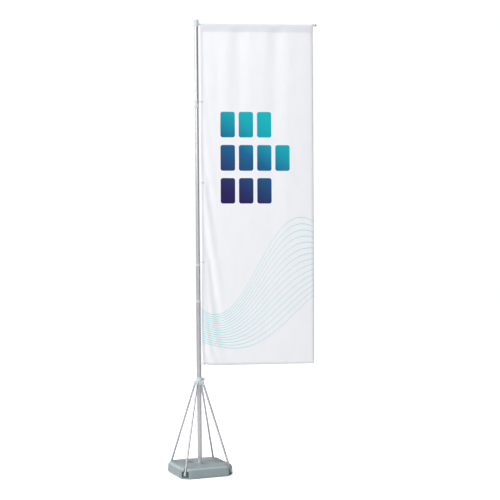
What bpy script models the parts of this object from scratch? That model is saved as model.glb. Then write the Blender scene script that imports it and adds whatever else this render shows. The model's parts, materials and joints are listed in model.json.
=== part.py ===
"""Banner stand: a rectangular banner on a swivelling top arm, carried by a telescopic aluminium mast.

The mast stands in a square water tank with cut corners, and four struts brace it from the corners to a hub.
Metres, +Z up. The origin is on the floor, on the mast's axis, and the arm points along +X.
The tank, the hub and the struts are turned about the mast by STAND_TURN.
"""

import math

import bmesh
import bpy
from mathutils import Matrix

# ---------------------------------------------------------------- driving dimensions (metres)
FIT = 0.0003                 # gap between pieces that seat on or in one another

STAND_TURN = math.radians(16.0)  # the tank's sides, turned from the banner's plane

TANK_SIDE = 0.490            # across the flats at the bottom
TANK_TOP = 0.095             # the top face, above the floor
TANK_DRAFT = 0.007           # each side leans in by this much at the top
TANK_CORNER_CUT = 0.062      # taken off each corner, along both sides
TANK_ROUNDING = 0.022        # every outer edge
TANK_WALL = 0.004            # sides and top
TANK_FLOOR = 0.006           # bottom wall
CORNER_WALL = 0.006          # plastic behind each strut bracket

GRIP_LENGTH = 0.100
GRIP_WIDTH = 0.026
GRIP_INSET = 0.046           # slot's middle, in from the tank's side
GRIP_WALL = 0.012

FILLER_PLACE = (-0.078, 0.052)
FILLER_BORE = 0.0185
FILLER_RECESS = 0.0296
FILLER_RECESS_DEPTH = 0.008
FILLER_BOSS_DEPTH = 0.024
CAP_SKIRT = 0.016
CAP_HEAD = 0.0084
SEAL_THICKNESS = 0.0032
CAP_GRIP = (0.040, 0.007, 0.005)

FOOT_SPIGOT = 0.0155         # radius of the mast foot in the tank's socket
SOCKET_FLOOR = 0.012
SOCKET_WALL = 0.006
FOOT_NECK = 0.033            # the foot's shoulder, above the tank's top
SHOULDER_HEIGHT = 0.006
FOOT_PLUG = 0.045            # length inside the lower tube

LOWER_TUBE = 0.0200          # outer radii of the mast's tubes
LOWER_WALL = 0.0015
LOWER_TOP = 1.500
MIDDLE_WALL = 0.0014
MIDDLE_BOTTOM = 0.900
MIDDLE_TOP = 1.820
UPPER_WALL = 0.0015
UPPER_BOTTOM = 1.700
SLEEVE_WALL = 0.0015
BUSH_HEIGHT = 0.020          # guide bush on each tube's mouth
LOWER_BUSH_PROUD = 0.0005
MIDDLE_BUSH_PROUD = 0.0010
GUIDE_RING = 0.025           # bumper ring under the middle tube
LOCK_PLUG = 0.034            # expander plug under the upper tube
PLUG_INSERT = 0.030

ARM_HEIGHT = 3.941           # the arm's axis, above the floor
ARM_TUBE = 0.0080
ARM_WALL = 0.0012
ARM_PAST_BANNER = 0.022      # bare end of the arm's tube, beyond the banner
ARM_SOCKET = 0.0115          # radius of the cap's stub
ARM_SOCKET_SHORT = 0.003     # the stub stops this far short of the banner
ARM_SPIGOT = 0.070           # the stub's spigot, inside the arm
ARM_CAP = 0.009              # length of the end cap's head

SLEEVE_DROP = 0.732          # the sleeve's foot, below the arm
SLEEVE_BUSH = 0.034
SLEEVE_SHORT = 0.013         # the sleeve's top, below the arm
CAP_RISE = 0.044             # the cap's top, above the arm
CAP_DROP = 0.027             # the cap's rim, below the arm
CAP_WALL = 0.0030
PIVOT_HEAD = 0.008           # bearing plug on top of the upper tube

BANNER_OFF_MAST = 0.016      # hoist edge, clear of the lower tube's outside
BANNER_WIDTH = 1.000
BANNER_HEIGHT = 3.000
BANNER_THICKNESS = 0.0010
POCKET_HEIGHT = 0.064        # stitched pocket, below the arm's axis
CLIP_DROPS = (0.679, 1.390, 2.088, 2.975)  # the hoist loops, below the arm
CLIP_WIRE = 0.0015
CLIP_SLACK = 0.0005          # a loop's inside, clear of the mast's widest bush
CLIP_BITE = 0.014            # the loop's nose, in from the hoist edge
CLIP_NOSE = 0.0048           # nose radius, to the wire's middle
GROMMET_HOLE = 0.0035
GROMMET_NECK = 0.0050
GROMMET_FLANGE = 0.0075
GROMMET_HALF = 0.0017

HUB_PIN_HEIGHT = 0.800
HUB_PIN = 0.0025
HUB_BELOW = 0.023            # the hub's ends, from its pins
HUB_ABOVE = 0.047
HUB_WALL = 0.0035
HUB_FLARE = 0.0045
EAR_RADIUS = 0.0110
EAR_CHEEK = 0.0050
KNOB_RISE = 0.026            # the clamp knob, above the hub's pins
KNOB_RADIUS = 0.0135
KNOB_THICKNESS = 0.016
KNOB_BOSS = 0.0085
KNOB_BOSS_PROUD = 0.0092     # the boss, beyond the hub's barrel
KNOB_STUD = 0.0030
KNOB_LOBES = 6

FOOT_PIN_INSET = 0.0076      # bracket pins, in from the tank's cut corners
FOOT_PIN_HEIGHT = 0.042
FOOT_PIN = 0.0040
STRUT_TUBE = 0.0090
STRUT_WALL = 0.0015
HEAD_THICKNESS = 0.0100
HEAD_RADIUS = 0.0092
HEAD_CLEAR = 0.0030          # strut head to the hub's barrel
HEAD_NECK = 0.0240           # hub pin to the tube's upper end
HEAD_SHANK = 0.030
FOOT_THICKNESS = 0.0120
FOOT_PROUD = 0.0005          # the foot, wider than the strut on each side
FOOT_BELOW = 0.0120
FOOT_ABOVE = 0.0220          # bracket pin to the tube's lower end
FOOT_SHANK = 0.030
BRACKET_PLATE = 0.0030
BRACKET_BACK = 0.030         # bracket pin to the front of its back plate
BRACKET_FRONT = 0.0080       # cheeks, beyond the bracket pin
BRACKET_HALF_WIDTH = 0.030
BRACKET_HALF_HEIGHT = 0.019
BRACKET_SIDE = 0.0010        # strut foot to each cheek
POCKET_HALF_WIDTH = 0.033
POCKET_BELOW = 0.029         # the pocket's floor and ceiling, from the bracket pin
POCKET_ABOVE = 0.021
GROOVE_CLEAR = 0.0035

ROUND = 32                   # sides of a mast tube
FINE = 24
SMALL = 16

# ---------------------------------------------------------------- derived sizes
MIDDLE_TUBE = LOWER_TUBE - LOWER_WALL - FIT
UPPER_TUBE = MIDDLE_TUBE - MIDDLE_WALL - FIT
SLEEVE_BORE = UPPER_TUBE + FIT
SLEEVE_TUBE = SLEEVE_BORE + SLEEVE_WALL
SLEEVE_BOTTOM = ARM_HEIGHT - SLEEVE_DROP
SLEEVE_TOP = ARM_HEIGHT - SLEEVE_SHORT
CAP_BORE = SLEEVE_TUBE + FIT
CAP_RADIUS = CAP_BORE + CAP_WALL
CAP_TOP = ARM_HEIGHT + CAP_RISE
CAP_BOTTOM = ARM_HEIGHT - CAP_DROP
CAP_CEILING = CAP_TOP - 3 * CAP_WALL - ARM_SOCKET / 2
BANNER_NEAR = LOWER_TUBE + BANNER_OFF_MAST
ARM_SOCKET_END = BANNER_NEAR - ARM_SOCKET_SHORT
ARM_END = BANNER_NEAR + BANNER_WIDTH + ARM_PAST_BANNER
POCKET_INSIDE = ARM_TUBE + FIT
POCKET_OUTSIDE = POCKET_INSIDE + BANNER_THICKNESS
BANNER_BOTTOM = ARM_HEIGHT + POCKET_OUTSIDE - BANNER_HEIGHT
CLIP_CLEAR = LOWER_TUBE + LOWER_BUSH_PROUD + CLIP_SLACK
CLIP_REACH = BANNER_NEAR + CLIP_BITE
FOOT_SHOULDER = TANK_TOP + FOOT_NECK
HUB_BORE = LOWER_TUBE + FIT
HUB_RADIUS = HUB_BORE + HUB_WALL
HUB_BOTTOM = HUB_PIN_HEIGHT - HUB_BELOW
HUB_TOP = HUB_PIN_HEIGHT + HUB_ABOVE
HUB_PIN_REACH = HUB_RADIUS + HEAD_RADIUS + HEAD_CLEAR
KNOB_HEIGHT = HUB_PIN_HEIGHT + KNOB_RISE
KNOB_BOSS_END = HUB_RADIUS + KNOB_BOSS_PROUD
FOOT_PIN_REACH = (TANK_SIDE - TANK_CORNER_CUT) / math.sqrt(2) - FOOT_PIN_INSET
FOOT_HALF_WIDTH = STRUT_TUBE + FOOT_PROUD
STRUT_BORE = STRUT_TUBE - STRUT_WALL
BRACKET_GAP = FOOT_THICKNESS / 2 + BRACKET_SIDE
POCKET_BACK = FOOT_PIN_REACH - BRACKET_BACK - BRACKET_PLATE - FIT
POCKET_FLOOR = FOOT_PIN_HEIGHT - POCKET_BELOW
POCKET_CEILING = FOOT_PIN_HEIGHT + POCKET_ABOVE
STRUT_LEAN = math.atan2(FOOT_PIN_REACH - HUB_PIN_REACH, HUB_PIN_HEIGHT - FOOT_PIN_HEIGHT)
STRUT_LENGTH = math.hypot(FOOT_PIN_REACH - HUB_PIN_REACH, HUB_PIN_HEIGHT - FOOT_PIN_HEIGHT)
CUT = 0.2                    # cutters run this far past what they cut
DRAWN = 10.0                 # flat outlines are filled this much larger
WELD = 0.00001               # loose curve ends closer than this are one


# ---------------------------------------------------------------- scene and materials
for old in list(bpy.data.objects):
    bpy.data.objects.remove(old, do_unlink=True)

PARTS = bpy.data.collections.new("banner_stand")
CUTTERS = bpy.data.collections.new("cutters")
bpy.context.scene.collection.children.link(PARTS)
bpy.context.scene.collection.children.link(CUTTERS)


def material(name, colour, roughness, metallic=0.0):
    """A plain Principled material."""
    mat = bpy.data.materials.new(name)
    mat.use_nodes = True
    shader = mat.node_tree.nodes["Principled BSDF"]
    shader.inputs["Base Color"].default_value = (*colour, 1.0)
    shader.inputs["Roughness"].default_value = roughness
    shader.inputs["Metallic"].default_value = metallic
    mat.diffuse_color = (*colour, 1.0)
    return mat


ALUMINIUM = material("anodised_aluminium", (0.78, 0.78, 0.80), 0.35, 1.0)
TANK_GREY = material("tank_grey_plastic", (0.38, 0.42, 0.43), 0.55)
WATER = material("ballast_water", (0.55, 0.68, 0.72), 0.05)
PALE_PLASTIC = material("pale_grey_plastic", (0.66, 0.72, 0.73), 0.45)
DARK_PLASTIC = material("dark_grey_plastic", (0.10, 0.11, 0.12), 0.50)
RUBBER = material("black_rubber", (0.03, 0.03, 0.03), 0.80)
STEEL = material("zinc_plated_steel", (0.60, 0.60, 0.62), 0.30, 1.0)
CLOTH = material("white_banner_cloth", (0.86, 0.87, 0.89), 0.85)
NICKEL = material("nickel_plated_brass", (0.72, 0.71, 0.68), 0.25, 1.0)


# ---------------------------------------------------------------- frames
def frame(name, matrix, parent=None):
    """An empty that carries pieces or cutters."""
    empty = bpy.data.objects.new(name, None)
    PARTS.objects.link(empty)
    empty.parent = parent
    empty.matrix_local = matrix
    return empty


def turn(angle, axis):
    return Matrix.Rotation(angle, 4, axis)


def move(x, y, z):
    return Matrix.Translation((x, y, z))


AXIS_X = turn(math.pi / 2, "Y")      # carries local +Z to +X
AXIS_Y = turn(-math.pi / 2, "X")     # carries local +Z to +Y

STAND = frame("stand_frame", turn(STAND_TURN, "Z"))
CORNERS = [
    frame(f"corner_frame_{n + 1}", turn(math.radians(-135 + 90 * n), "Z"), STAND) for n in range(4)
]
PIVOTS = [
    frame(f"strut_pivot_{n + 1}", move(HUB_PIN_REACH, 0, HUB_PIN_HEIGHT) @ turn(-STRUT_LEAN, "Y"), corner)
    for n, corner in enumerate(CORNERS)
]
FILLER_AXIS = frame("filler_axis", move(*FILLER_PLACE, 0), STAND)
KNOB_AXIS = frame("knob_axis", move(0, 0, KNOB_HEIGHT) @ AXIS_X, STAND)
LOWER_SLIDE = frame("middle_tube_axis", move(0, 0, LOWER_TOP))
UPPER_SLIDE = frame("upper_tube_axis", move(0, 0, MIDDLE_TOP - LOWER_TOP), LOWER_SLIDE)
SWIVEL = frame("swivel_axis", move(0, 0, SLEEVE_BOTTOM - MIDDLE_TOP), UPPER_SLIDE)


# ---------------------------------------------------------------- shape tools
def place(obj, mat, parent=None, matrix=None, collection=None):
    """Link a finished object, give it its material, and set it in its frame (matrix is in that frame)."""
    (collection or PARTS).objects.link(obj)
    obj.parent = parent
    obj.matrix_local = matrix or Matrix.Identity(4)
    if mat:
        obj.data.materials.clear()
        obj.data.materials.append(mat)
    return obj


def world_at_rest(parent):
    """The matrix that undoes a parent's place, so that a piece can be drawn in world coordinates."""
    bpy.context.view_layer.update()
    return parent.matrix_world.inverted() if parent else Matrix.Identity(4)


def smooth(mesh, angle=35):
    mesh.shade_smooth()
    mesh.set_sharp_from_angle(angle=math.radians(angle))


def from_bmesh(name, bm, is_smooth=False):
    bmesh.ops.recalc_face_normals(bm, faces=bm.faces)
    mesh = bpy.data.meshes.new(name)
    bm.to_mesh(mesh)
    bm.free()
    if is_smooth:
        smooth(mesh)
    return bpy.data.objects.new(name, mesh)


def box(name, low, high):
    """A cuboid between two corners."""
    bm = bmesh.new()
    bmesh.ops.create_cube(bm, size=1.0)
    size = [b - a for a, b in zip(low, high)]
    middle = [(a + b) / 2 for a, b in zip(low, high)]
    bmesh.ops.scale(bm, vec=size, verts=bm.verts)
    bmesh.ops.translate(bm, vec=middle, verts=bm.verts)
    return from_bmesh(name, bm)


def rod(name, radius, low, high, sides=SMALL):
    """A solid cylinder along local Z."""
    bm = bmesh.new()
    bmesh.ops.create_cone(
        bm, cap_ends=True, segments=sides, radius1=radius, radius2=radius, depth=high - low,
        matrix=move(0, 0, (low + high) / 2),
    )
    return from_bmesh(name, bm, is_smooth=True)


def turned(name, profile, sides=ROUND, closed=False):
    """A profile of (radius, height) points, from top to bottom down the outside, turned about local Z."""
    mesh = bpy.data.meshes.new(name)
    points = [(r, 0.0, z) for r, z in profile]
    edges = [(i, i + 1) for i in range(len(points) - 1)]
    if closed:
        edges.append((len(points) - 1, 0))
    mesh.from_pydata(points, edges, [])
    obj = bpy.data.objects.new(name, mesh)
    screw = obj.modifiers.new("turn", "SCREW")
    screw.axis = "Z"
    screw.steps = sides
    screw.render_steps = sides
    screw.use_merge_vertices = True
    screw.merge_threshold = 0.00001
    screw.use_smooth_shade = True
    return obj


def ring(name, outer, inner, low, high, sides=ROUND):
    """A plain tube or ring along local Z."""
    return turned(name, [(outer, high), (outer, low), (inner, low), (inner, high)], sides, closed=True)


def plate(name, outlines, half_thickness):
    """Flat outlines in local XY, the first outside and the rest holes, as a welded mesh.

    A curve's fill loses points closer than about 0.01 mm, so it is filled at DRAWN times its size.
    """
    curve = bpy.data.curves.new(name + "_outline", "CURVE")
    curve.dimensions = "2D"
    curve.fill_mode = "BOTH"
    curve.extrude = half_thickness * DRAWN
    for outline in outlines:
        spline = curve.splines.new("POLY")
        spline.points.add(len(outline) - 1)
        for point, (x, y) in zip(spline.points, outline):
            point.co = (x * DRAWN, y * DRAWN, 0.0, 1.0)
        spline.use_cyclic_u = True
    drawn = bpy.data.objects.new(name + "_outline", curve)
    obj = baked(name, drawn)
    obj.data.transform(Matrix.Scale(1 / DRAWN, 4))
    return obj


def baked(name, drawn):
    """A curve object as a closed mesh object of the same place; the curve is removed."""
    bpy.context.scene.collection.objects.link(drawn)
    bpy.context.view_layer.update()
    graph = bpy.context.evaluated_depsgraph_get()
    mesh = bpy.data.meshes.new_from_object(drawn.evaluated_get(graph))
    mesh.name = name
    bm = bmesh.new()
    bm.from_mesh(mesh)
    bmesh.ops.remove_doubles(bm, verts=bm.verts, dist=WELD * DRAWN)
    bmesh.ops.recalc_face_normals(bm, faces=bm.faces)
    bm.to_mesh(mesh)
    bm.free()
    obj = bpy.data.objects.new(name, mesh)
    obj.matrix_world = drawn.matrix_world
    curve = drawn.data
    bpy.data.objects.remove(drawn)
    bpy.data.curves.remove(curve)
    return obj


def arc(centre, radius, start, end, count):
    """Points on an arc, angles in degrees."""
    steps = [math.radians(start + (end - start) * i / count) for i in range(count + 1)]
    return [(centre[0] + radius * math.cos(a), centre[1] + radius * math.sin(a)) for a in steps]


def cut(target, cutter, parent=None, matrix=None, operation="DIFFERENCE"):
    """Boolean the target with a cutter, which is kept out of the model; gives the modifier back."""
    place(cutter, None, parent, matrix, CUTTERS)
    cutter.hide_render = True
    cutter.display_type = "WIRE"
    modifier = target.modifiers.new(cutter.name, "BOOLEAN")
    modifier.operation = operation
    modifier.solver = "EXACT"
    modifier.object = cutter
    return modifier


def rounded(obj, width, segments, angle=30):
    bevel = obj.modifiers.new("rounding", "BEVEL")
    bevel.width = width
    bevel.segments = segments
    bevel.limit_method = "ANGLE"
    bevel.angle_limit = math.radians(angle)
    return obj


# ---------------------------------------------------------------- water tank
def corner_cut_square(side, corner):
    """The eight corners of a square with its corners cut, as (x, y)."""
    half = side / 2
    near = half - corner
    ring_points = [(half, -near), (half, near), (near, half), (-near, half)]
    return ring_points + [(-x, -y) for x, y in ring_points]


def tank_block(name, inset, low, high):
    """The tank's outer form, or that form drawn in by inset on every side."""
    bm = bmesh.new()
    rings = []
    for z in (low, high):
        side = TANK_SIDE - 2 * (inset + TANK_DRAFT * z / TANK_TOP)
        corner = TANK_CORNER_CUT - inset * (2 - math.sqrt(2))
        rings.append([bm.verts.new((x, y, z)) for x, y in corner_cut_square(side, corner)])
    bm.faces.new(rings[0])
    bm.faces.new(rings[1])
    for i in range(8):
        j = (i + 1) % 8
        bm.faces.new((rings[0][i], rings[0][j], rings[1][j], rings[1][i]))
    return from_bmesh(name, bm)


def strut_groove(name, clear):
    """The strut's way through a corner, in the strut's own frame."""
    half = STRUT_TUBE + clear
    low = -STRUT_LENGTH + FOOT_BELOW
    return box(name, (-half, -half, low), (CUT, half, low + CUT))


def grip_slot(name, grow, low, high):
    """The hand slot near the tank's +X side, with round ends."""
    half_width = GRIP_WIDTH / 2 + grow
    straight = GRIP_LENGTH / 2 - GRIP_WIDTH / 2
    outline = arc((0, straight), half_width, 0, 180, 8) + arc((0, -straight), half_width, 180, 360, 8)
    slot = plate(name, [outline], (high - low) / 2)
    matrix = move(TANK_SIDE / 2 - GRIP_INSET, 0, (low + high) / 2)
    return slot, matrix


def hollow(name, spare):
    """The tank's inside, with spare between it and the walls: 0 for the hollow, FIT for the water in it."""
    inside = tank_block(name, TANK_WALL + spare, TANK_FLOOR + spare, TANK_TOP - TANK_WALL - spare)
    rounded(inside, TANK_ROUNDING - TANK_WALL + spare, 4)
    for corner, pivot in zip(CORNERS, PIVOTS):
        tag = f"{name}_{corner.name[-1]}"
        back = POCKET_BACK - CORNER_WALL - spare
        side = POCKET_HALF_WIDTH + TANK_WALL + spare
        cut(inside, box(f"{tag}_corner_keep", (back, -side, -CUT), (CUT + back, side, CUT)), corner)
        cut(inside, strut_groove(f"{tag}_groove_keep", GROOVE_CLEAR + TANK_WALL + spare), pivot)
    socket = rod(f"{name}_socket_keep", FOOT_SPIGOT + FIT + SOCKET_WALL + spare, -CUT, CUT, FINE)
    cut(inside, socket, STAND)
    boss_radius = FILLER_RECESS + TANK_WALL + spare
    boss_low = TANK_TOP - FILLER_BOSS_DEPTH - spare
    boss = rod(f"{name}_filler_keep", boss_radius, boss_low, CUT, FINE)
    cut(inside, boss, FILLER_AXIS)
    slot_x = TANK_SIDE / 2 - GRIP_INSET
    reach = GRIP_WIDTH / 2 + GRIP_WALL + spare
    span = GRIP_LENGTH / 2 + GRIP_WALL + spare
    cut(inside, box(f"{name}_grip_keep", (slot_x - reach, -span, -CUT), (slot_x + CUT, span, CUT)), STAND)
    return inside


tank = place(tank_block("tank", 0.0, 0.0, TANK_TOP), TANK_GREY, STAND)
rounded(tank, TANK_ROUNDING, 4)
cut(tank, hollow("tank_hollow", 0.0), STAND)
cut(tank, rod("socket_bore", FOOT_SPIGOT + FIT, SOCKET_FLOOR, CUT, FINE), STAND)
cut(tank, rod("filler_bore", FILLER_BORE, TANK_TOP - 2 * FILLER_BOSS_DEPTH, CUT, FINE), FILLER_AXIS)
cut(tank, rod("filler_recess", FILLER_RECESS, TANK_TOP - FILLER_RECESS_DEPTH, CUT, FINE), FILLER_AXIS)
grip_cutter, grip_matrix = grip_slot("grip_slot", 0.0, -CUT, CUT)
cut(tank, grip_cutter, STAND, grip_matrix)

place(hollow("ballast_water", FIT), WATER, STAND)

for corner, pivot in zip(CORNERS, PIVOTS):
    tag = corner.name[-1]
    pocket = box(
        f"pocket_{tag}",
        (POCKET_BACK, -POCKET_HALF_WIDTH, POCKET_FLOOR),
        (CUT + POCKET_BACK, POCKET_HALF_WIDTH, POCKET_CEILING),
    )
    cut(tank, pocket, corner)
    cut(tank, strut_groove(f"groove_{tag}", GROOVE_CLEAR), pivot)

# ---------------------------------------------------------------- filler cap and its seal
RECESS_FLOOR = TANK_TOP - FILLER_RECESS_DEPTH
CAP_UNDER = RECESS_FLOOR + SEAL_THICKNESS + 2 * FIT
SEAL_MIDDLE = (FILLER_BORE + FILLER_RECESS) / 2
seal_section = arc(
    (SEAL_MIDDLE, RECESS_FLOOR + FIT + SEAL_THICKNESS / 2), SEAL_THICKNESS / 2, 90, -225, 7
)
place(turned("filler_seal", seal_section, FINE, closed=True), RUBBER, FILLER_AXIS)

cap_edge = FILLER_RECESS - FIT - 0.0002
skirt = FILLER_BORE - FIT
cap = turned(
    "filler_cap",
    [
        (0.0, CAP_UNDER + CAP_HEAD),
        (cap_edge - 0.0015, CAP_UNDER + CAP_HEAD),
        (cap_edge, CAP_UNDER + CAP_HEAD - 0.0015),
        (cap_edge, CAP_UNDER),
        (skirt, CAP_UNDER),
        (skirt, CAP_UNDER - CAP_SKIRT),
        (0.0, CAP_UNDER - CAP_SKIRT),
    ],
    FINE,
)
place(cap, TANK_GREY, FILLER_AXIS)
half_grip = [value / 2 for value in CAP_GRIP]
grip_bar = box(
    "cap_grip_bar",
    (-half_grip[0], -half_grip[1], CAP_UNDER),
    (half_grip[0], half_grip[1], CAP_UNDER + CAP_HEAD + CAP_GRIP[2]),
)
cut(cap, grip_bar, FILLER_AXIS, operation="UNION")

# ---------------------------------------------------------------- mast foot and the three tubes
foot_top = FOOT_SHOULDER + SHOULDER_HEIGHT
lower_bore = LOWER_TUBE - LOWER_WALL
place(
    turned(
        "mast_foot",
        [
            (0.0, foot_top + FOOT_PLUG),
            (lower_bore - FIT, foot_top + FOOT_PLUG),
            (lower_bore - FIT, foot_top),
            (LOWER_TUBE, foot_top),
            (LOWER_TUBE, FOOT_SHOULDER),
            (FOOT_SPIGOT, FOOT_SHOULDER - SHOULDER_HEIGHT),
            (FOOT_SPIGOT, SOCKET_FLOOR + FIT),
            (0.0, SOCKET_FLOOR + FIT),
        ],
    ),
    PALE_PLASTIC,
)
place(ring("lower_tube", LOWER_TUBE, lower_bore, foot_top + FIT, LOWER_TOP), ALUMINIUM)
place(
    ring("lower_tube_bush", LOWER_TUBE + LOWER_BUSH_PROUD, MIDDLE_TUBE + FIT, LOWER_TOP + FIT,
         LOWER_TOP + BUSH_HEIGHT),
    PALE_PLASTIC,
)

to_middle = world_at_rest(LOWER_SLIDE)
middle_bore = MIDDLE_TUBE - MIDDLE_WALL
middle_tube = ring("middle_tube", MIDDLE_TUBE, middle_bore, MIDDLE_BOTTOM, MIDDLE_TOP)
place(middle_tube, ALUMINIUM, LOWER_SLIDE, to_middle)
place(
    ring("middle_tube_bush", MIDDLE_TUBE + MIDDLE_BUSH_PROUD, UPPER_TUBE + FIT, MIDDLE_TOP + FIT,
         MIDDLE_TOP + BUSH_HEIGHT),
    PALE_PLASTIC, LOWER_SLIDE, to_middle,
)
guide_top = MIDDLE_BOTTOM - FIT
guide_ring = ring("middle_guide_ring", MIDDLE_TUBE, middle_bore, guide_top - GUIDE_RING, guide_top)
place(guide_ring, DARK_PLASTIC, LOWER_SLIDE, to_middle)

to_upper = world_at_rest(UPPER_SLIDE)
upper_bore = UPPER_TUBE - UPPER_WALL
PIVOT_TOP = CAP_CEILING - FIT
UPPER_TOP = PIVOT_TOP - PIVOT_HEAD
upper_tube = ring("upper_tube", UPPER_TUBE, upper_bore, UPPER_BOTTOM, UPPER_TOP - FIT)
place(upper_tube, ALUMINIUM, UPPER_SLIDE, to_upper)
place(
    turned(
        "upper_lock_plug",
        [
            (0.0, UPPER_BOTTOM + PLUG_INSERT),
            (upper_bore - FIT, UPPER_BOTTOM + PLUG_INSERT),
            (upper_bore - FIT, UPPER_BOTTOM - FIT),
            (UPPER_TUBE, UPPER_BOTTOM - FIT),
            (UPPER_TUBE, UPPER_BOTTOM - LOCK_PLUG),
            (0.0, UPPER_BOTTOM - LOCK_PLUG),
        ],
        FINE,
    ),
    DARK_PLASTIC, UPPER_SLIDE, to_upper,
)
place(
    turned(
        "swivel_pivot",
        [
            (0.0, PIVOT_TOP),
            (UPPER_TUBE / 2, PIVOT_TOP),
            (UPPER_TUBE, PIVOT_TOP - PIVOT_HEAD / 2),
            (UPPER_TUBE, UPPER_TOP),
            (upper_bore - FIT, UPPER_TOP),
            (upper_bore - FIT, UPPER_TOP - PLUG_INSERT),
            (0.0, UPPER_TOP - PLUG_INSERT),
        ],
        FINE,
    ),
    DARK_PLASTIC, UPPER_SLIDE, to_upper,
)

# ---------------------------------------------------------------- turning sleeve, top cap and arm
to_swivel = world_at_rest(SWIVEL)
bush_radius = SLEEVE_TUBE + LOWER_BUSH_PROUD
bush_top = SLEEVE_BOTTOM + SLEEVE_BUSH
place(ring("sleeve_bush", bush_radius, SLEEVE_BORE, SLEEVE_BOTTOM, bush_top), PALE_PLASTIC, SWIVEL, to_swivel)
sleeve_low = bush_top + FIT
place(ring("swivel_sleeve", SLEEVE_TUBE, SLEEVE_BORE, sleeve_low, SLEEVE_TOP), ALUMINIUM, SWIVEL, to_swivel)

dome = [
    (CAP_RADIUS * math.sin(a), CAP_TOP - CAP_RADIUS * 0.62 * (1 - math.cos(a)))
    for a in [math.radians(18 * i) for i in range(6)]
]
top_cap = turned(
    "top_cap",
    dome + [
        (CAP_RADIUS, CAP_BOTTOM),
        (CAP_BORE, CAP_BOTTOM),
        (CAP_BORE, SLEEVE_TOP + FIT),
        (SLEEVE_BORE, SLEEVE_TOP + FIT),
        (SLEEVE_BORE, CAP_CEILING),
        (0.0, CAP_CEILING),
    ],
)
place(top_cap, PALE_PLASTIC, SWIVEL, to_swivel)
arm_bore = ARM_TUBE - ARM_WALL
arm_line = to_swivel @ move(0, 0, ARM_HEIGHT) @ AXIS_X
socket_seat = CAP_BORE + CAP_WALL / 2
stub = rod("arm_socket_stub", ARM_SOCKET, socket_seat, ARM_SOCKET_END, FINE)
cut(top_cap, stub, SWIVEL, arm_line, "UNION")
socket_floor = CAP_RADIUS + 0.001
cut(top_cap, rod("arm_socket_bore", ARM_TUBE + FIT, socket_floor, CUT, FINE), SWIVEL, arm_line)
spigot = rod("arm_socket_spigot", arm_bore - FIT, socket_floor - 0.0015, ARM_SOCKET_END + ARM_SPIGOT, FINE)
cut(top_cap, spigot, SWIVEL, arm_line, "UNION")

place(ring("arm_tube", ARM_TUBE, arm_bore, socket_floor + FIT, ARM_END, FINE), ALUMINIUM, SWIVEL, arm_line)
place(
    turned(
        "arm_end_cap",
        [
            (0.0, ARM_END + ARM_CAP),
            (ARM_TUBE * 0.7, ARM_END + ARM_CAP),
            (ARM_TUBE + 0.001, ARM_END + ARM_CAP * 0.6),
            (ARM_TUBE + 0.001, ARM_END + FIT),
            (arm_bore - FIT, ARM_END + FIT),
            (arm_bore - FIT, ARM_END - PLUG_INSERT),
            (0.0, ARM_END - PLUG_INSERT),
        ],
        FINE,
    ),
    DARK_PLASTIC, SWIVEL, arm_line,
)

# ---------------------------------------------------------------- banner, grommets and hoist loops
half = BANNER_THICKNESS / 2
seam = -POCKET_HEIGHT
outside = [(half, BANNER_BOTTOM - ARM_HEIGHT), (half, seam)]
outside += arc((0, 0), POCKET_OUTSIDE, 0, 180, 12)
outside += [(-half, seam), (-half, BANNER_BOTTOM - ARM_HEIGHT)]
inside = arc((0, 0), POCKET_INSIDE, 0, 180, 12) + [(0.0, seam + 6 * BANNER_THICKNESS)]
banner = plate("banner", [outside, inside], BANNER_WIDTH / 2)
upright = Matrix(((0, 0, 1, 0), (1, 0, 0, 0), (0, 1, 0, 0), (0, 0, 0, 1)))   # outline's X, Y to world Y, Z
banner_place = to_swivel @ move(BANNER_NEAR + BANNER_WIDTH / 2, 0, ARM_HEIGHT) @ upright
place(banner, CLOTH, SWIVEL, banner_place)

grommet_x = CLIP_REACH + GROMMET_HOLE - CLIP_WIRE - 3 * FIT   # room for the nose's bend
grommet_section = [
    (GROMMET_FLANGE, GROMMET_HALF),
    (GROMMET_FLANGE, half + FIT),
    (GROMMET_NECK, half + FIT),
    (GROMMET_NECK, -half - FIT),
    (GROMMET_FLANGE, -half - FIT),
    (GROMMET_FLANGE, -GROMMET_HALF),
    (GROMMET_HOLE, -GROMMET_HALF),
    (GROMMET_HOLE, GROMMET_HALF),
]

loop_radius = CLIP_CLEAR + CLIP_WIRE
nose_x = CLIP_REACH - CLIP_NOSE
tangent = math.degrees(math.acos((loop_radius - CLIP_NOSE) / nose_x))
loop_path = arc((0, 0), loop_radius, tangent, 360 - tangent, 18)
loop_path += arc((nose_x, 0), CLIP_NOSE, -tangent, tangent, 6)
for n, drop in enumerate(CLIP_DROPS):
    height = ARM_HEIGHT - drop
    hole_place = to_swivel @ move(grommet_x, 0, height) @ AXIS_Y
    hole = rod(f"grommet_hole_{n + 1}", GROMMET_NECK + FIT, -CUT, CUT)
    cut(banner, hole, SWIVEL, hole_place).solver = "MANIFOLD"   # EXACT leaves slits in the long thin faces
    grommet = turned(f"grommet_{n + 1}", grommet_section, SMALL, closed=True)
    place(grommet, NICKEL, SWIVEL, hole_place)
    clip_axis = frame(f"hoist_loop_axis_{n + 1}", to_swivel @ move(0, 0, height), SWIVEL)
    curve = bpy.data.curves.new(f"hoist_loop_{n + 1}", "CURVE")
    curve.dimensions = "3D"
    curve.bevel_depth = CLIP_WIRE
    curve.bevel_resolution = 1
    spline = curve.splines.new("POLY")
    spline.points.add(len(loop_path) - 1)
    for point, (x, y) in zip(spline.points, loop_path):
        point.co = (x, y, 0.0, 1.0)
    spline.use_cyclic_u = True
    place(bpy.data.objects.new(f"hoist_loop_{n + 1}", curve), PALE_PLASTIC, clip_axis)

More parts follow.
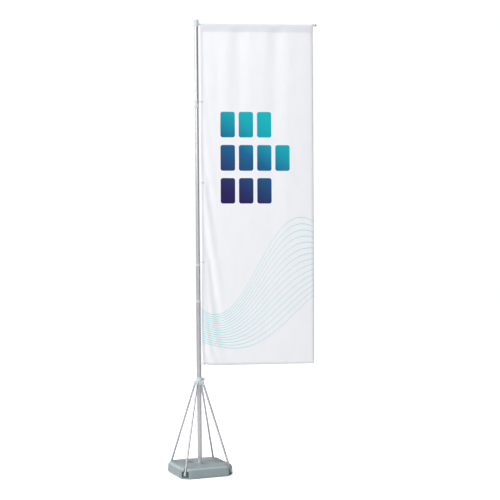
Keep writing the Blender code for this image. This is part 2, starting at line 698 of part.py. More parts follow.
# ---------------------------------------------------------------- hub, its pins and its clamp knob
hub = turned(
    "hub",
    [
        (HUB_RADIUS - 0.001, HUB_TOP),
        (HUB_RADIUS, HUB_TOP - 0.002),
        (HUB_RADIUS, HUB_TOP - 0.010),
        (HUB_RADIUS + HUB_FLARE, HUB_TOP - 0.024),
        (HUB_RADIUS + HUB_FLARE, HUB_BOTTOM + 0.002),
        (HUB_RADIUS + HUB_FLARE - 0.002, HUB_BOTTOM),
        (HUB_BORE, HUB_BOTTOM),
        (HUB_BORE, HUB_TOP),
    ],
    closed=True,
)
place(hub, PALE_PLASTIC, STAND)
boss = rod("knob_boss", KNOB_BOSS, HUB_BORE + HUB_WALL / 2, KNOB_BOSS_END, FINE)
cut(hub, boss, KNOB_AXIS, operation="UNION")
cut(hub, rod("stud_hole", KNOB_STUD + FIT, 0, CUT), KNOB_AXIS)

slot_half = HEAD_THICKNESS / 2 + FIT
ear_half = slot_half + EAR_CHEEK
ear_root = HUB_BORE + HUB_WALL / 2
ear_outline = [(ear_root, -EAR_RADIUS)] + arc((HUB_PIN_REACH, 0), EAR_RADIUS, -90, 90, 8)
ear_outline.append((ear_root, EAR_RADIUS))
flat_to_side = Matrix(((1, 0, 0, 0), (0, 0, -1, 0), (0, 1, 0, 0), (0, 0, 0, 1)))  # outline's Y to world Z
for corner in CORNERS:
    tag = corner.name[-1]
    ear_place = move(0, 0, HUB_PIN_HEIGHT) @ flat_to_side
    cut(hub, plate(f"ear_{tag}", [ear_outline], ear_half), corner, ear_place, "UNION")
    ear_slot = box(
        f"ear_slot_{tag}",
        (HUB_PIN_REACH - HEAD_RADIUS - 2 * FIT, -slot_half, HUB_PIN_HEIGHT - CUT),
        (CUT, slot_half, HUB_PIN_HEIGHT + HEAD_RADIUS + 2 * FIT),
    )
    cut(hub, ear_slot, corner)
    pin_line = move(HUB_PIN_REACH, 0, HUB_PIN_HEIGHT) @ AXIS_Y
    cut(hub, rod(f"hub_pin_hole_{tag}", HUB_PIN + FIT, -CUT / 4, CUT / 4), corner, pin_line)
    place(rod(f"hub_pin_{tag}", HUB_PIN, -ear_half - 0.001, ear_half + 0.001), STEEL, corner, pin_line)

stud_end = KNOB_BOSS_END + KNOB_THICKNESS * 0.75
place(rod("knob_stud", KNOB_STUD, LOWER_TUBE + FIT, stud_end), STEEL, KNOB_AXIS)
lobe_steps = 8 * KNOB_LOBES
lobes = [
    (
        (KNOB_RADIUS + 0.001 * math.cos(KNOB_LOBES * a)) * math.cos(a),
        (KNOB_RADIUS + 0.001 * math.cos(KNOB_LOBES * a)) * math.sin(a),
    )
    for a in [2 * math.pi * i / lobe_steps for i in range(lobe_steps)]
]
knob_low = KNOB_BOSS_END + FIT
knob = plate("clamp_knob", [lobes], KNOB_THICKNESS / 2)
place(knob, PALE_PLASTIC, KNOB_AXIS, move(0, 0, knob_low + KNOB_THICKNESS / 2))
rounded(knob, 0.002, 2, 60)
cut(knob, rod("stud_seat", KNOB_STUD + FIT, 0, stud_end + FIT), KNOB_AXIS)

# ---------------------------------------------------------------- struts, brackets and their pins
SHANK = STRUT_BORE - FIT
head_outline = [(-SHANK, -HEAD_NECK), (SHANK, -HEAD_NECK)] + arc((0, 0), HEAD_RADIUS, -35, 215, 12)
low = -STRUT_LENGTH
foot_outline = (
    [(FOOT_HALF_WIDTH, low + FOOT_ABOVE), (-FOOT_HALF_WIDTH, low + FOOT_ABOVE)]
    + arc((-FOOT_HALF_WIDTH + 0.004, low - FOOT_BELOW + 0.004), 0.004, 180, 270, 3)
    + arc((FOOT_HALF_WIDTH - 0.004, low - FOOT_BELOW + 0.004), 0.004, 270, 360, 3)
)
cheek_in = BRACKET_GAP
cheek_out = BRACKET_GAP + BRACKET_PLATE
plate_front = FOOT_PIN_REACH - BRACKET_BACK
for corner, pivot in zip(CORNERS, PIVOTS):
    tag = corner.name[-1]
    head = plate(f"strut_head_{tag}", [head_outline], HEAD_THICKNESS / 2)
    place(head, PALE_PLASTIC, pivot, flat_to_side)
    cut(head, rod(f"head_hole_{tag}", HUB_PIN + FIT, -CUT / 4, CUT / 4), pivot, AXIS_Y)
    shank = rod(f"head_shank_{tag}", SHANK, -HEAD_NECK - HEAD_SHANK, -HEAD_NECK + 0.002)
    cut(head, shank, pivot, operation="UNION")

    tube_low = low + FOOT_ABOVE + FIT
    tube = ring(f"strut_tube_{tag}", STRUT_TUBE, STRUT_BORE, tube_low, -HEAD_NECK - FIT, SMALL)
    place(tube, ALUMINIUM, pivot)

    foot = plate(f"strut_foot_{tag}", [foot_outline], FOOT_THICKNESS / 2)
    place(foot, PALE_PLASTIC, pivot, flat_to_side)
    shank = rod(f"foot_shank_{tag}", SHANK, low + FOOT_ABOVE - 0.002, low + FOOT_ABOVE + FOOT_SHANK)
    cut(foot, shank, pivot, operation="UNION")
    hook = arc((0, low), FOOT_PIN + FIT, 90, -90, 8)
    hook += [(-CUT, low - FOOT_PIN - FIT), (-CUT, low + FOOT_PIN + FIT)]
    cut(foot, plate(f"foot_hook_{tag}", [hook], FOOT_THICKNESS), pivot, flat_to_side)

    bracket = box(
        f"strut_bracket_{tag}",
        (plate_front - BRACKET_PLATE, -BRACKET_HALF_WIDTH, FOOT_PIN_HEIGHT - BRACKET_HALF_HEIGHT),
        (plate_front, BRACKET_HALF_WIDTH, FOOT_PIN_HEIGHT + BRACKET_HALF_HEIGHT),
    )
    place(bracket, TANK_GREY, corner)
    pin_line = move(FOOT_PIN_REACH, 0, FOOT_PIN_HEIGHT) @ AXIS_Y
    for side in (-1, 1):
        mark = "ab"[side > 0]
        edges = sorted((side * cheek_in, side * cheek_out))
        cheek = box(
            f"cheek_{tag}_{mark}",
            (plate_front - BRACKET_PLATE / 2, edges[0], FOOT_PIN_HEIGHT - BRACKET_HALF_HEIGHT + 0.002),
            (FOOT_PIN_REACH + BRACKET_FRONT, edges[1], FOOT_PIN_HEIGHT + BRACKET_HALF_HEIGHT - 0.004),
        )
        cut(bracket, cheek, corner, operation="UNION")
    cut(bracket, rod(f"bracket_pin_hole_{tag}", FOOT_PIN + FIT, -CUT / 4, CUT / 4), corner, pin_line)
    place(rod(f"bracket_pin_{tag}", FOOT_PIN, -cheek_out - 0.002, cheek_out + 0.002), STEEL, corner, pin_line)
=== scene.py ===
"""Looks of a banner stand: a banner on a swivelling arm, on a telescopic mast over a water tank."""
import json
import math
import random

import bmesh
import bpy
import numpy as np
from mathutils import Matrix, Quaternion, Vector


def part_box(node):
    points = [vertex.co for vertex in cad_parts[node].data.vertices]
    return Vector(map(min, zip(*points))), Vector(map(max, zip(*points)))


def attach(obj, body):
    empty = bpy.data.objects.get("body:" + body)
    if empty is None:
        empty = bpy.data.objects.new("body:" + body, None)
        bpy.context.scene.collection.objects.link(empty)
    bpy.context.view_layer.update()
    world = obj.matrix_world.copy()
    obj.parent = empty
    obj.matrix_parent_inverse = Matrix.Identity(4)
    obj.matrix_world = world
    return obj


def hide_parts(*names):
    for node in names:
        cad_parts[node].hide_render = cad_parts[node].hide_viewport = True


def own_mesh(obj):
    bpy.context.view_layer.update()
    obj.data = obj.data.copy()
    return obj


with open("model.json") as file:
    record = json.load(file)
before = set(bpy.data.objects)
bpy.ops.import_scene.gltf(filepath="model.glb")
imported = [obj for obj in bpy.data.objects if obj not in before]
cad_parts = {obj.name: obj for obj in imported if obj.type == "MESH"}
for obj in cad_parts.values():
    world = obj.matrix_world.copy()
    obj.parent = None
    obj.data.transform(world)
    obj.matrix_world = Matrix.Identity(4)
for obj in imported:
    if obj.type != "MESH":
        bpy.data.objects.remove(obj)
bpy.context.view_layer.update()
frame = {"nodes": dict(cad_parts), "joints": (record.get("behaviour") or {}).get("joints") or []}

# ---------------------------------------------------------------- camera, floor and studio light
# The stand is seen from the front, from left of the mast at half its height, and from far enough off that the
# mast stays upright. The floor and backdrop are plain white paper. Broad light comes from the left, so the
# right side is in shade.
YAW, PITCH, ROLL = 0.1061, -0.00819, -0.00864
PAPER_GLOW = 0.62
LAMPS_AIM = Vector((0.3, 0, 1.8))
SHADE_SIDE = (0.87, 0.49, 0.0)


def placed(name, data):
    """A new object at the origin, linked into the scene."""
    obj = bpy.data.objects.new(name, data)
    bpy.context.scene.collection.objects.link(obj)
    return obj


def look_along(obj, way, roll=0.0):
    """Turn a camera or a lamp to face along a direction."""
    obj.rotation_mode = "QUATERNION"
    obj.rotation_quaternion = way.to_track_quat("-Z", "Y") @ Quaternion((0, 0, 1), roll)


def plain_material(name, colour, roughness, metallic=0.0):
    """A Principled material and its tree; every finish below starts from one."""
    material = bpy.data.materials.new(name)
    material.use_nodes = True
    shader = material.node_tree.nodes["Principled BSDF"]
    shader.inputs["Base Color"].default_value = (*colour, 1.0)
    shader.inputs["Roughness"].default_value = roughness
    shader.inputs["Metallic"].default_value = metallic
    return material, material.node_tree, shader


camera_data = bpy.data.cameras.new("camera")
camera_data.lens = 84.19
camera_data.sensor_width = 36.0
camera = placed("camera", camera_data)
camera.location = (-0.6325, -10.2519, 2.0415)
looking = Vector((math.sin(YAW) * math.cos(PITCH), math.cos(YAW) * math.cos(PITCH), math.sin(PITCH)))
look_along(camera, looking, ROLL)
bpy.context.scene.camera = camera

bpy.ops.mesh.primitive_plane_add(size=60.0, location=(0, 0, -0.0006))
floor = bpy.context.object
floor.name = "studio_floor"
paper, tree, shader = plain_material("studio_floor", (0.90, 0.90, 0.905), 0.9)
shader.inputs["Emission Color"].default_value = (1.0, 1.0, 1.0, 1.0)
paper_seen = tree.nodes.new("ShaderNodeLightPath")
paper_lit = tree.nodes.new("ShaderNodeMath")
paper_lit.operation = "MULTIPLY"
paper_lit.inputs[1].default_value = PAPER_GLOW
tree.links.new(paper_seen.outputs["Is Camera Ray"], paper_lit.inputs[0])
tree.links.new(paper_lit.outputs[0], shader.inputs["Emission Strength"])
floor.data.materials.append(paper)

bpy.context.scene.view_settings.view_transform = "Standard"
world = bpy.data.worlds.new("studio")
bpy.context.scene.world = world
world.use_nodes = True
sky = world.node_tree
sky.nodes.clear()
direction = sky.nodes.new("ShaderNodeTexCoord")
towards_shade = sky.nodes.new("ShaderNodeVectorMath")
towards_shade.operation = "DOT_PRODUCT"
towards_shade.inputs[1].default_value = SHADE_SIDE
side = sky.nodes.new("ShaderNodeMapRange")
side.interpolation_type = "SMOOTHSTEP"
side.inputs["From Min"].default_value = -0.25
side.inputs["From Max"].default_value = 0.62
side.inputs["To Min"].default_value = 0.95
side.inputs["To Max"].default_value = 0.06
soft_light = sky.nodes.new("ShaderNodeBackground")
soft_light.inputs["Color"].default_value = (0.80, 0.80, 0.82, 1.0)
backdrop = sky.nodes.new("ShaderNodeBackground")
backdrop.inputs["Color"].default_value = (1.0, 1.0, 1.0, 1.0)
backdrop.inputs["Strength"].default_value = 1.02
backdrop_seen = sky.nodes.new("ShaderNodeLightPath")
either = sky.nodes.new("ShaderNodeMixShader")
for socket, into in (
    (direction.outputs["Generated"], towards_shade.inputs[0]),
    (towards_shade.outputs["Value"], side.inputs["Value"]),
    (side.outputs["Result"], soft_light.inputs["Strength"]),
    (backdrop_seen.outputs["Is Camera Ray"], either.inputs["Fac"]),
    (soft_light.outputs[0], either.inputs[1]),
    (backdrop.outputs[0], either.inputs[2]),
    (either.outputs[0], sky.nodes.new("ShaderNodeOutputWorld").inputs["Surface"]),
):
    sky.links.new(socket, into)

for name, place, size, watts in (
    ("key_light", (-5.0, -5.5, 5.5), 3.5, 235.0),
    ("front_fill", (2.5, -8.0, 3.0), 4.0, 45.0),
    ("back_light", (-2.5, 6.0, 5.0), 4.0, 200.0),
    ("top_light", (-0.5, -0.6, 8.0), 4.0, 150.0),
):
    lamp = bpy.data.lights.new(name, "AREA")
    lamp.size = size
    lamp.energy = watts
    holder = placed(name, lamp)
    holder.location = place
    look_along(holder, LAMPS_AIM - Vector(place))

# ---------------------------------------------------------------- water tank
# A rotomoulded polyethylene shell with soft edges. Its skin has a faint orange peel, a parting line round
# the sides, and scuffs and dust where it is dragged and stood on. Its rounded edges get a painted highlight.
# The cut corners hold the strut brackets.
knob_axis = Vector(next(j for j in frame["joints"] if j["name"] == "knob_turn")["axis"])
STAND_TURN = math.atan2(knob_axis.y, knob_axis.x)
PARTING_HEIGHT = 0.034
FILLER_BORE, BORE_FOOT = 0.0215, 0.045
cap_low, cap_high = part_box("filler_cap")


def evaluated_mesh(obj):
    """Keep what the object's modifiers make of it as its plain mesh, and remove them."""
    bpy.context.view_layer.update()
    graph = bpy.context.evaluated_depsgraph_get()
    mesh = bpy.data.meshes.new_from_object(obj.evaluated_get(graph))
    mesh.name = obj.name
    obj.modifiers.clear()
    obj.data = mesh


def moulded(name, node, voxel, passes, plugs=()):
    """A moulding: the solid's own form, remade at a voxel size square to the stand's sides, with every edge
    softened by so many passes. A plug is (radius, low, high, centre) and closes a bore."""
    bm = bmesh.new()
    bm.from_mesh(frame["nodes"][node].data)
    bmesh.ops.remove_doubles(bm, verts=bm.verts, dist=0.000002)
    for radius, low, high, centre in plugs:
        bmesh.ops.create_cone(
            bm, cap_ends=True, segments=32, radius1=radius, radius2=radius, depth=high - low,
            matrix=Matrix.Translation((centre.x, centre.y, (low + high) / 2)),
        )
    bm.transform(Matrix.Rotation(-STAND_TURN, 4, "Z"))
    mesh = bpy.data.meshes.new(name)
    bm.to_mesh(mesh)
    bm.free()
    obj = placed(name, mesh)
    remesh = obj.modifiers.new("skin", "REMESH")
    remesh.mode = "VOXEL"
    remesh.voxel_size = voxel
    softened = obj.modifiers.new("soft_edges", "SMOOTH")
    softened.factor = 0.5
    softened.iterations = passes
    evaluated_mesh(obj)
    obj.data.transform(Matrix.Rotation(STAND_TURN, 4, "Z"))
    obj.data.shade_smooth()
    return obj


def fitted(obj, body, nodes, material):
    """Give a finished piece its material, its body, and the solids that it stands for."""
    obj.data.materials.clear()
    obj.data.materials.append(material)
    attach(obj, body)
    if nodes:
        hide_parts(*nodes)


def new_group(name, inputs, outputs):
    """An empty shader group; inputs are (name, value) and outputs are names, all of them numbers."""
    group = bpy.data.node_groups.new(name, "ShaderNodeTree")
    for socket, value in inputs:
        made = group.interface.new_socket(socket, in_out="INPUT", socket_type="NodeSocketFloat")
        made.default_value = value
    for socket in outputs:
        group.interface.new_socket(socket, in_out="OUTPUT", socket_type="NodeSocketFloat")
    return group, group.nodes.new("NodeGroupInput").outputs, group.nodes.new("NodeGroupOutput").inputs


def object_place(tree):
    """The place on the object itself, which a moving piece carries with it."""
    return tree.nodes.new("ShaderNodeTexCoord").outputs["Object"]


def noise(tree, scale, detail, vector):
    """Soft noise from 0 to 1; the scale is a number or a socket."""
    node = tree.nodes.new("ShaderNodeTexNoise")
    node.inputs["Detail"].default_value = detail
    if isinstance(scale, float):
        node.inputs["Scale"].default_value = scale
    else:
        tree.links.new(scale, node.inputs["Scale"])
    tree.links.new(vector, node.inputs["Vector"])
    return node.outputs["Fac"]


def maths(tree, operation, *values):
    """One Math node; each value is a number or a socket."""
    node = tree.nodes.new("ShaderNodeMath")
    node.operation = operation
    for socket, value in zip(node.inputs, values):
        if isinstance(value, (int, float)):
            socket.default_value = value
        else:
            tree.links.new(value, socket)
    return node.outputs[0]


def off_from(tree, value, middle):
    """How far a value lies from a middle, either way."""
    return maths(tree, "ABSOLUTE", maths(tree, "SUBTRACT", value, middle))


def between(tree, value, low, high, out_low=0.0, out_high=1.0):
    """A smooth step from low to high."""
    node = tree.nodes.new("ShaderNodeMapRange")
    node.interpolation_type = "SMOOTHSTEP"
    for socket, number in zip(("From Min", "From Max", "To Min", "To Max"), (low, high, out_low, out_high)):
        node.inputs[socket].default_value = number
    tree.links.new(value, node.inputs["Value"])
    return node.outputs["Result"]


def mixed(tree, amount, a, b, strength=None):
    """One colour over another, at a share of the amount; each is a colour or a socket."""
    node = tree.nodes.new("ShaderNodeMix")
    node.data_type = "RGBA"
    share = amount if strength is None else maths(tree, "MULTIPLY", amount, strength)
    tree.links.new(share, node.inputs["Factor"])
    for socket, value in ((node.inputs[6], a), (node.inputs[7], b)):
        if isinstance(value, tuple):
            socket.default_value = (*value, 1.0)
        else:
            tree.links.new(value, socket)
    return node.outputs[2]


def bumped(tree, shader, height, strength, distance):
    """Fine relief on a finish."""
    node = tree.nodes.new("ShaderNodeBump")
    node.inputs["Strength"].default_value = strength
    node.inputs["Distance"].default_value = distance
    tree.links.new(height, node.inputs["Height"])
    tree.links.new(node.outputs["Normal"], shader.inputs["Normal"])


GRIME_AND_HIGHLIGHT, grime_in, marks_and_highlight_out = new_group(
    "dust_scuffs_and_edge_highlight", [("Scale", 9.0), ("Scuff Height", 0.03)], ["Dust", "Scuffs", "Mottle", "Painted Edge Highlight"]
)
grime_place = object_place(GRIME_AND_HIGHLIGHT)
facing_split = GRIME_AND_HIGHLIGHT.nodes.new("ShaderNodeSeparateXYZ")
GRIME_AND_HIGHLIGHT.links.new(GRIME_AND_HIGHLIGHT.nodes.new("ShaderNodeNewGeometry").outputs["Normal"], facing_split.inputs[0])
place_split = GRIME_AND_HIGHLIGHT.nodes.new("ShaderNodeSeparateXYZ")
GRIME_AND_HIGHLIGHT.links.new(grime_place, place_split.inputs[0])
upward = between(GRIME_AND_HIGHLIGHT, facing_split.outputs["Z"], 0.5, 1.0)
patches = between(GRIME_AND_HIGHLIGHT, noise(GRIME_AND_HIGHLIGHT, grime_in["Scale"], 6.0, grime_place), 0.38, 0.75)
GRIME_AND_HIGHLIGHT.links.new(maths(GRIME_AND_HIGHLIGHT, "MULTIPLY", upward, patches), marks_and_highlight_out["Dust"])
height_share = maths(GRIME_AND_HIGHLIGHT, "DIVIDE", place_split.outputs["Z"], grime_in["Scuff Height"])
low_down = between(GRIME_AND_HIGHLIGHT, height_share, 0.0, 1.0, 1.0, 0.0)
scratches = between(GRIME_AND_HIGHLIGHT, noise(GRIME_AND_HIGHLIGHT, 85.0, 8.0, grime_place), 0.52, 0.68)
GRIME_AND_HIGHLIGHT.links.new(maths(GRIME_AND_HIGHLIGHT, "MULTIPLY", low_down, scratches), marks_and_highlight_out["Scuffs"])
GRIME_AND_HIGHLIGHT.links.new(noise(GRIME_AND_HIGHLIGHT, 5.0, 4.0, grime_place), marks_and_highlight_out["Mottle"])
# Painted highlight: faces that slant about half up, as on rounded edges, give a mask that paints them paler.
slant = off_from(GRIME_AND_HIGHLIGHT, facing_split.outputs["Z"], 0.55)
GRIME_AND_HIGHLIGHT.links.new(between(GRIME_AND_HIGHLIGHT, slant, 0.10, 0.38, 1.0, 0.0), marks_and_highlight_out["Painted Edge Highlight"])


def grime_and_highlight(tree, scale, scuff_height):
    """The shared dust, scuffs, mottle and painted edge highlight, placed in one material."""
    node = tree.nodes.new("ShaderNodeGroup")
    node.node_tree = GRIME_AND_HIGHLIGHT
    node.inputs["Scale"].default_value = scale
    node.inputs["Scuff Height"].default_value = scuff_height
    return node.outputs


tank_skin, tree, shader = plain_material("tank_skin", (0.285, 0.335, 0.345), 0.52)
marks = grime_and_highlight(tree, 9.0, 0.030)
mottled = mixed(tree, marks["Mottle"], (0.255, 0.318, 0.330), (0.308, 0.372, 0.384))
# Painted highlight: the tank's rounded edges are coloured much paler where their faces slant half up.
edge_highlighted = mixed(tree, marks["Painted Edge Highlight"], mottled, (0.50, 0.565, 0.575), 0.62)
dusty = mixed(tree, marks["Dust"], edge_highlighted, (0.50, 0.535, 0.53), 0.38)
scuffed = mixed(tree, marks["Scuffs"], dusty, (0.52, 0.55, 0.55), 0.45)
tree.links.new(scuffed, shader.inputs["Base Color"])
tree.links.new(between(tree, marks["Dust"], 0.0, 1.0, 0.46, 0.74), shader.inputs["Roughness"])
place = object_place(tree)
heights = tree.nodes.new("ShaderNodeSeparateXYZ")
tree.links.new(place, heights.inputs[0])
parting_line = between(tree, off_from(tree, heights.outputs["Z"], PARTING_HEIGHT), 0.0004, 0.0014, 1.0, 0.0)
orange_peel = maths(tree, "MULTIPLY", noise(tree, 420.0, 3.0, place), 0.55)
bumped(tree, shader, maths(tree, "ADD", orange_peel, parting_line), 0.35, 0.0006)

bore_plug = (FILLER_BORE, BORE_FOOT, cap_low.z - 0.001, (cap_low + cap_high) / 2)
fitted(moulded("water_tank", "tank", 0.0031, 5, [bore_plug]), "stand", ["tank"], tank_skin)


# ---------------------------------------------------------------- filler cap, its seal and the water
# A screwed cap of the tank's own plastic, with a bar across it for the fingers, on a rubber ring.
# The water fills the tank and isn't seen.
def grained(tree, shader, scale, detail, strength, distance):
    """The fine grain that a mould leaves."""
    bumped(tree, shader, noise(tree, scale, detail, object_place(tree)), strength, distance)


def two_toned(tree, shader, scale, detail, dark, pale):
    """A colour that wanders between two close tones."""
    toned = mixed(tree, noise(tree, scale, detail, object_place(tree)), dark, pale)
    tree.links.new(toned, shader.inputs["Base Color"])


def hidden_inside(node, material):
    """A solid that is out of sight and keeps its own form, in its own material."""
    solid = frame["nodes"][node]
    solid.data.materials.clear()
    solid.data.materials.append(material)


cap_skin, tree, shader = plain_material("filler_cap_skin", (0.25, 0.30, 0.31), 0.42)
dusted = mixed(tree, grime_and_highlight(tree, 30.0, 0.01)["Dust"], (0.235, 0.285, 0.295), (0.36, 0.39, 0.39))
tree.links.new(dusted, shader.inputs["Base Color"])
grained(tree, shader, 900.0, 2.0, 0.20, 0.0003)
filler_cap = moulded("screwed_filler_cap", "filler_cap", 0.0008, 3)
fitted(filler_cap, "filler_cap", ["filler_cap"], cap_skin)

rubber, tree, shader = plain_material("black_rubber", (0.022, 0.022, 0.023), 0.78)
grained(tree, shader, 700.0, 3.0, 0.30, 0.0003)
hidden_inside("filler_seal", rubber)

water, tree, shader = plain_material("ballast_water", (0.42, 0.58, 0.62), 0.06)
two_toned(tree, shader, 4.0, 2.0, (0.40, 0.56, 0.60), (0.46, 0.61, 0.64))
hidden_inside("ballast_water", water)

# ---------------------------------------------------------------- mast tubes
# Drawn aluminium, clear anodised: satin, with fine lines along its length and small handling scratches.
# The ends are deburred. Each tube slides in the one below.
ROUND = 96
DEBURR = 0.0004


def turned(name, profile, along=Matrix.Identity(4), closed=True, sides=ROUND):
    """A profile of (radius, height) turned about its axis, with a map of turn and height for its finish."""
    bm = bmesh.new()
    drawn = bm.loops.layers.uv.new("drawn")
    angles = [2 * math.pi * k / sides for k in range(sides)]
    rings = []
    for radius, height in profile:
        if radius == 0:
            rings.append([bm.verts.new((0, 0, height))] * sides)
        else:
            rings.append([bm.verts.new((radius * math.cos(a), radius * math.sin(a), height)) for a in angles])
    pairs = list(zip(range(len(rings) - 1), range(1, len(rings))))
    if closed:
        pairs.append((len(rings) - 1, 0))
    for a, b in pairs:
        for k in range(sides):
            j = (k + 1) % sides
            corners = [
                (rings[a][k], k, a), (rings[b][k], k, b), (rings[b][j], k + 1, b), (rings[a][j], k + 1, a),
            ]
            kept = [c for i, c in enumerate(corners) if c[0] is not corners[i - 1][0]]
            face = bm.faces.new([c[0] for c in kept])
            for loop, (_, step, ring) in zip(face.loops, kept):
                loop[drawn].uv = (step / sides, profile[ring][1])
    bmesh.ops.recalc_face_normals(bm, faces=bm.faces)
    bm.transform(along)
    mesh = bpy.data.meshes.new(name)
    bm.to_mesh(mesh)
    bm.free()
    mesh.shade_smooth()
    mesh.set_sharp_from_angle(angle=math.radians(32))
    return placed(name, mesh)


def tube_profile(outer, wall, low, high):
    """A tube's wall in section, its four rims deburred."""
    inner = outer - wall
    return [
        (outer, low + DEBURR), (outer, high - DEBURR), (outer - DEBURR, high), (inner + DEBURR, high),
        (inner, high - DEBURR), (inner, low + DEBURR), (inner + DEBURR, low), (outer - DEBURR, low),
    ]


DRAWN, drawn_in, drawn_out = new_group(
    "drawn_metal", [("Lines", 90.0), ("Scratches", 14.0)], ["Line", "Scratch"]
)
drawn_map = DRAWN.nodes.new("ShaderNodeUVMap")
drawn_map.uv_map = "drawn"
stretch = DRAWN.nodes.new("ShaderNodeVectorMath")
stretch.operation = "MULTIPLY"
stretch.inputs[1].default_value = (1.0, 0.02, 1.0)
DRAWN.links.new(drawn_map.outputs[0], stretch.inputs[0])
DRAWN.links.new(noise(DRAWN, drawn_in["Lines"], 5.0, stretch.outputs[0]), drawn_out["Line"])
scratch_field = noise(DRAWN, drawn_in["Scratches"], 9.0, drawn_map.outputs[0])
DRAWN.links.new(between(DRAWN, scratch_field, 0.60, 0.66), drawn_out["Scratch"])


def drawn_aluminium(name, colour, roughness):
    """Anodised tube stock in one shade."""
    material, tree, shader = plain_material(name, colour, roughness, 1.0)
    marks = tree.nodes.new("ShaderNodeGroup")
    marks.node_tree = DRAWN
    line = marks.outputs["Line"]
    darker = tuple(c * 0.90 for c in colour)
    lined = mixed(tree, line, darker, colour)
    worn = mixed(tree, marks.outputs["Scratch"], lined, (0.90, 0.90, 0.91), 0.25)
    tree.links.new(worn, shader.inputs["Base Color"])
    finish = between(tree, line, 0.3, 0.7, roughness - 0.06, roughness + 0.08)
    tree.links.new(finish, shader.inputs["Roughness"])
    bumped(tree, shader, line, 0.12, 0.0002)
    return material


anodised = drawn_aluminium("anodised_aluminium", (0.62, 0.62, 0.635), 0.33)
for node, body, wall in (
    ("lower_tube", "stand", 0.0015),
    ("middle_tube", "middle_section", 0.0014),
    ("upper_tube", "upper_section", 0.0015),
    ("swivel_sleeve", "swivel_arm", 0.0015),
):
    low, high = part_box(node)
    mast_tube = turned(f"{node}_drawn", tube_profile(high.x, wall, low.z, high.z))
    fitted(mast_tube, body, [node], anodised)


# ---------------------------------------------------------------- mast foot, bushes and inner plugs
# Pale grey nylon, moulded with a fine grain. The foot is a bright spigot between tank and lowest tube.
# The guide ring, lock plug and pivot sit inside the tubes and are darker nylon.
def nylon(name, dark, pale, roughness):
    """Grained moulded plastic in two close shades."""
    material, tree, shader = plain_material(name, pale, roughness)
    marks = grime_and_highlight(tree, 22.0, 0.02)
    toned = mixed(tree, marks["Mottle"], dark, pale)
    tree.links.new(mixed(tree, marks["Dust"], toned, (0.60, 0.60, 0.58), 0.25), shader.inputs["Base Color"])
    handled = between(tree, marks["Mottle"], 0.3, 0.7, roughness - 0.05, roughness + 0.06)
    tree.links.new(handled, shader.inputs["Roughness"])
    grained(tree, shader, 1100.0, 2.0, 0.22, 0.0002)
    return material


def rounded_ring(outer, inner, low, high, edge=0.0008):
    """A bush in section: its outer rims rounded in three steps."""
    steps = [math.radians(15 + 30 * k) for k in range(3)]
    top = [(outer - edge + edge * math.cos(a), high - edge + edge * math.sin(a)) for a in steps]
    foot = [(outer - edge + edge * math.cos(a), low + edge - edge * math.sin(a)) for a in reversed(steps)]
    return foot + top + [(inner, high), (inner, low)]


pale_nylon = nylon("pale_nylon", (0.56, 0.625, 0.64), (0.63, 0.69, 0.70), 0.44)
dark_nylon = nylon("dark_nylon", (0.075, 0.083, 0.09), (0.105, 0.113, 0.12), 0.50)
for node, body, bore in (
    ("lower_tube_bush", "stand", 0.0185),
    ("middle_tube_bush", "middle_section", 0.0168),
    ("sleeve_bush", "swivel_arm", 0.0168),
):
    low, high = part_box(node)
    bush = turned(f"{node}_moulded", rounded_ring(high.x, bore, low.z, high.z))
    fitted(bush, body, [node], pale_nylon)
mast_foot = moulded("mast_foot_moulded", "mast_foot", 0.0008, 4)
fitted(mast_foot, "stand", ["mast_foot"], pale_nylon)
for node in ("middle_guide_ring", "upper_lock_plug", "swivel_pivot"):
    hidden_inside(node, dark_nylon)

# ---------------------------------------------------------------- top cap and arm
# The cap is one nylon moulding with a domed top, closed over the sleeve, and a stub that takes the arm.
# The arm is a thin drawn tube with a dark plug in its free end.
ARM_WALL = 0.0012
arm_low, arm_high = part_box("arm_tube")
ARM_HEIGHT = (arm_low.z + arm_high.z) / 2
ARM_RADIUS = (arm_high.z - arm_low.z) / 2
top_cap = moulded("top_cap_moulded", "top_cap", 0.0007, 4)
fitted(top_cap, "swivel_arm", ["top_cap"], pale_nylon)
along_x = Matrix.Translation((0, 0, ARM_HEIGHT)) @ Matrix.Rotation(math.pi / 2, 4, "Y")
arm = turned("arm_tube_drawn", tube_profile(ARM_RADIUS, ARM_WALL, arm_low.x, arm_high.x), along_x)
fitted(arm, "swivel_arm", ["arm_tube"], anodised)
end_cap = moulded("arm_end_cap_moulded", "arm_end_cap", 0.0005, 3)
fitted(end_cap, "swivel_arm", ["arm_end_cap"], dark_nylon)

# ---------------------------------------------------------------- banner cloth
# One length of white woven polyester. It is turned over the arm in a pocket and sewn down behind, and its
# edges are hemmed. It hangs by its own weight, a little gathered on the arm, held in by the hoist loops.
banner_low, banner_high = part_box("banner")
LEFT = banner_low.x
WIDTH = banner_high.x - banner_low.x
TOP = banner_high.z
DROP = TOP - banner_low.z
FOOT = TOP - DROP
POCKET = ARM_HEIGHT - 0.064
POCKET_ROUND = ARM_RADIUS + 0.0007
BACK_PLY = 0.0012
SEWN_DOWN = 0.012
CLOTH = 0.0004
CREASE = 0.0004
GATHER = 0.0045
COLUMNS, ROWS, TURNS = 80, 226, 12
PER_ROW = COLUMNS + 1
HEM = 0.022
HOLD = 0.013
FRAMES = 44
FARTHEST = 0.024
FOOT_SLACK = 0.004
FLAT_PATCH, PATCH_EASE = 0.019, 0.070
eyelet_boxes = [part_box(f"grommet_{n}") for n in range(1, 5)]
holds = [(low + high) / 2 for low, high in eyelet_boxes]


def eased(share):
    """A share from 0 to 1, starting and ending softly."""
    return share * share * (3 - 2 * share)


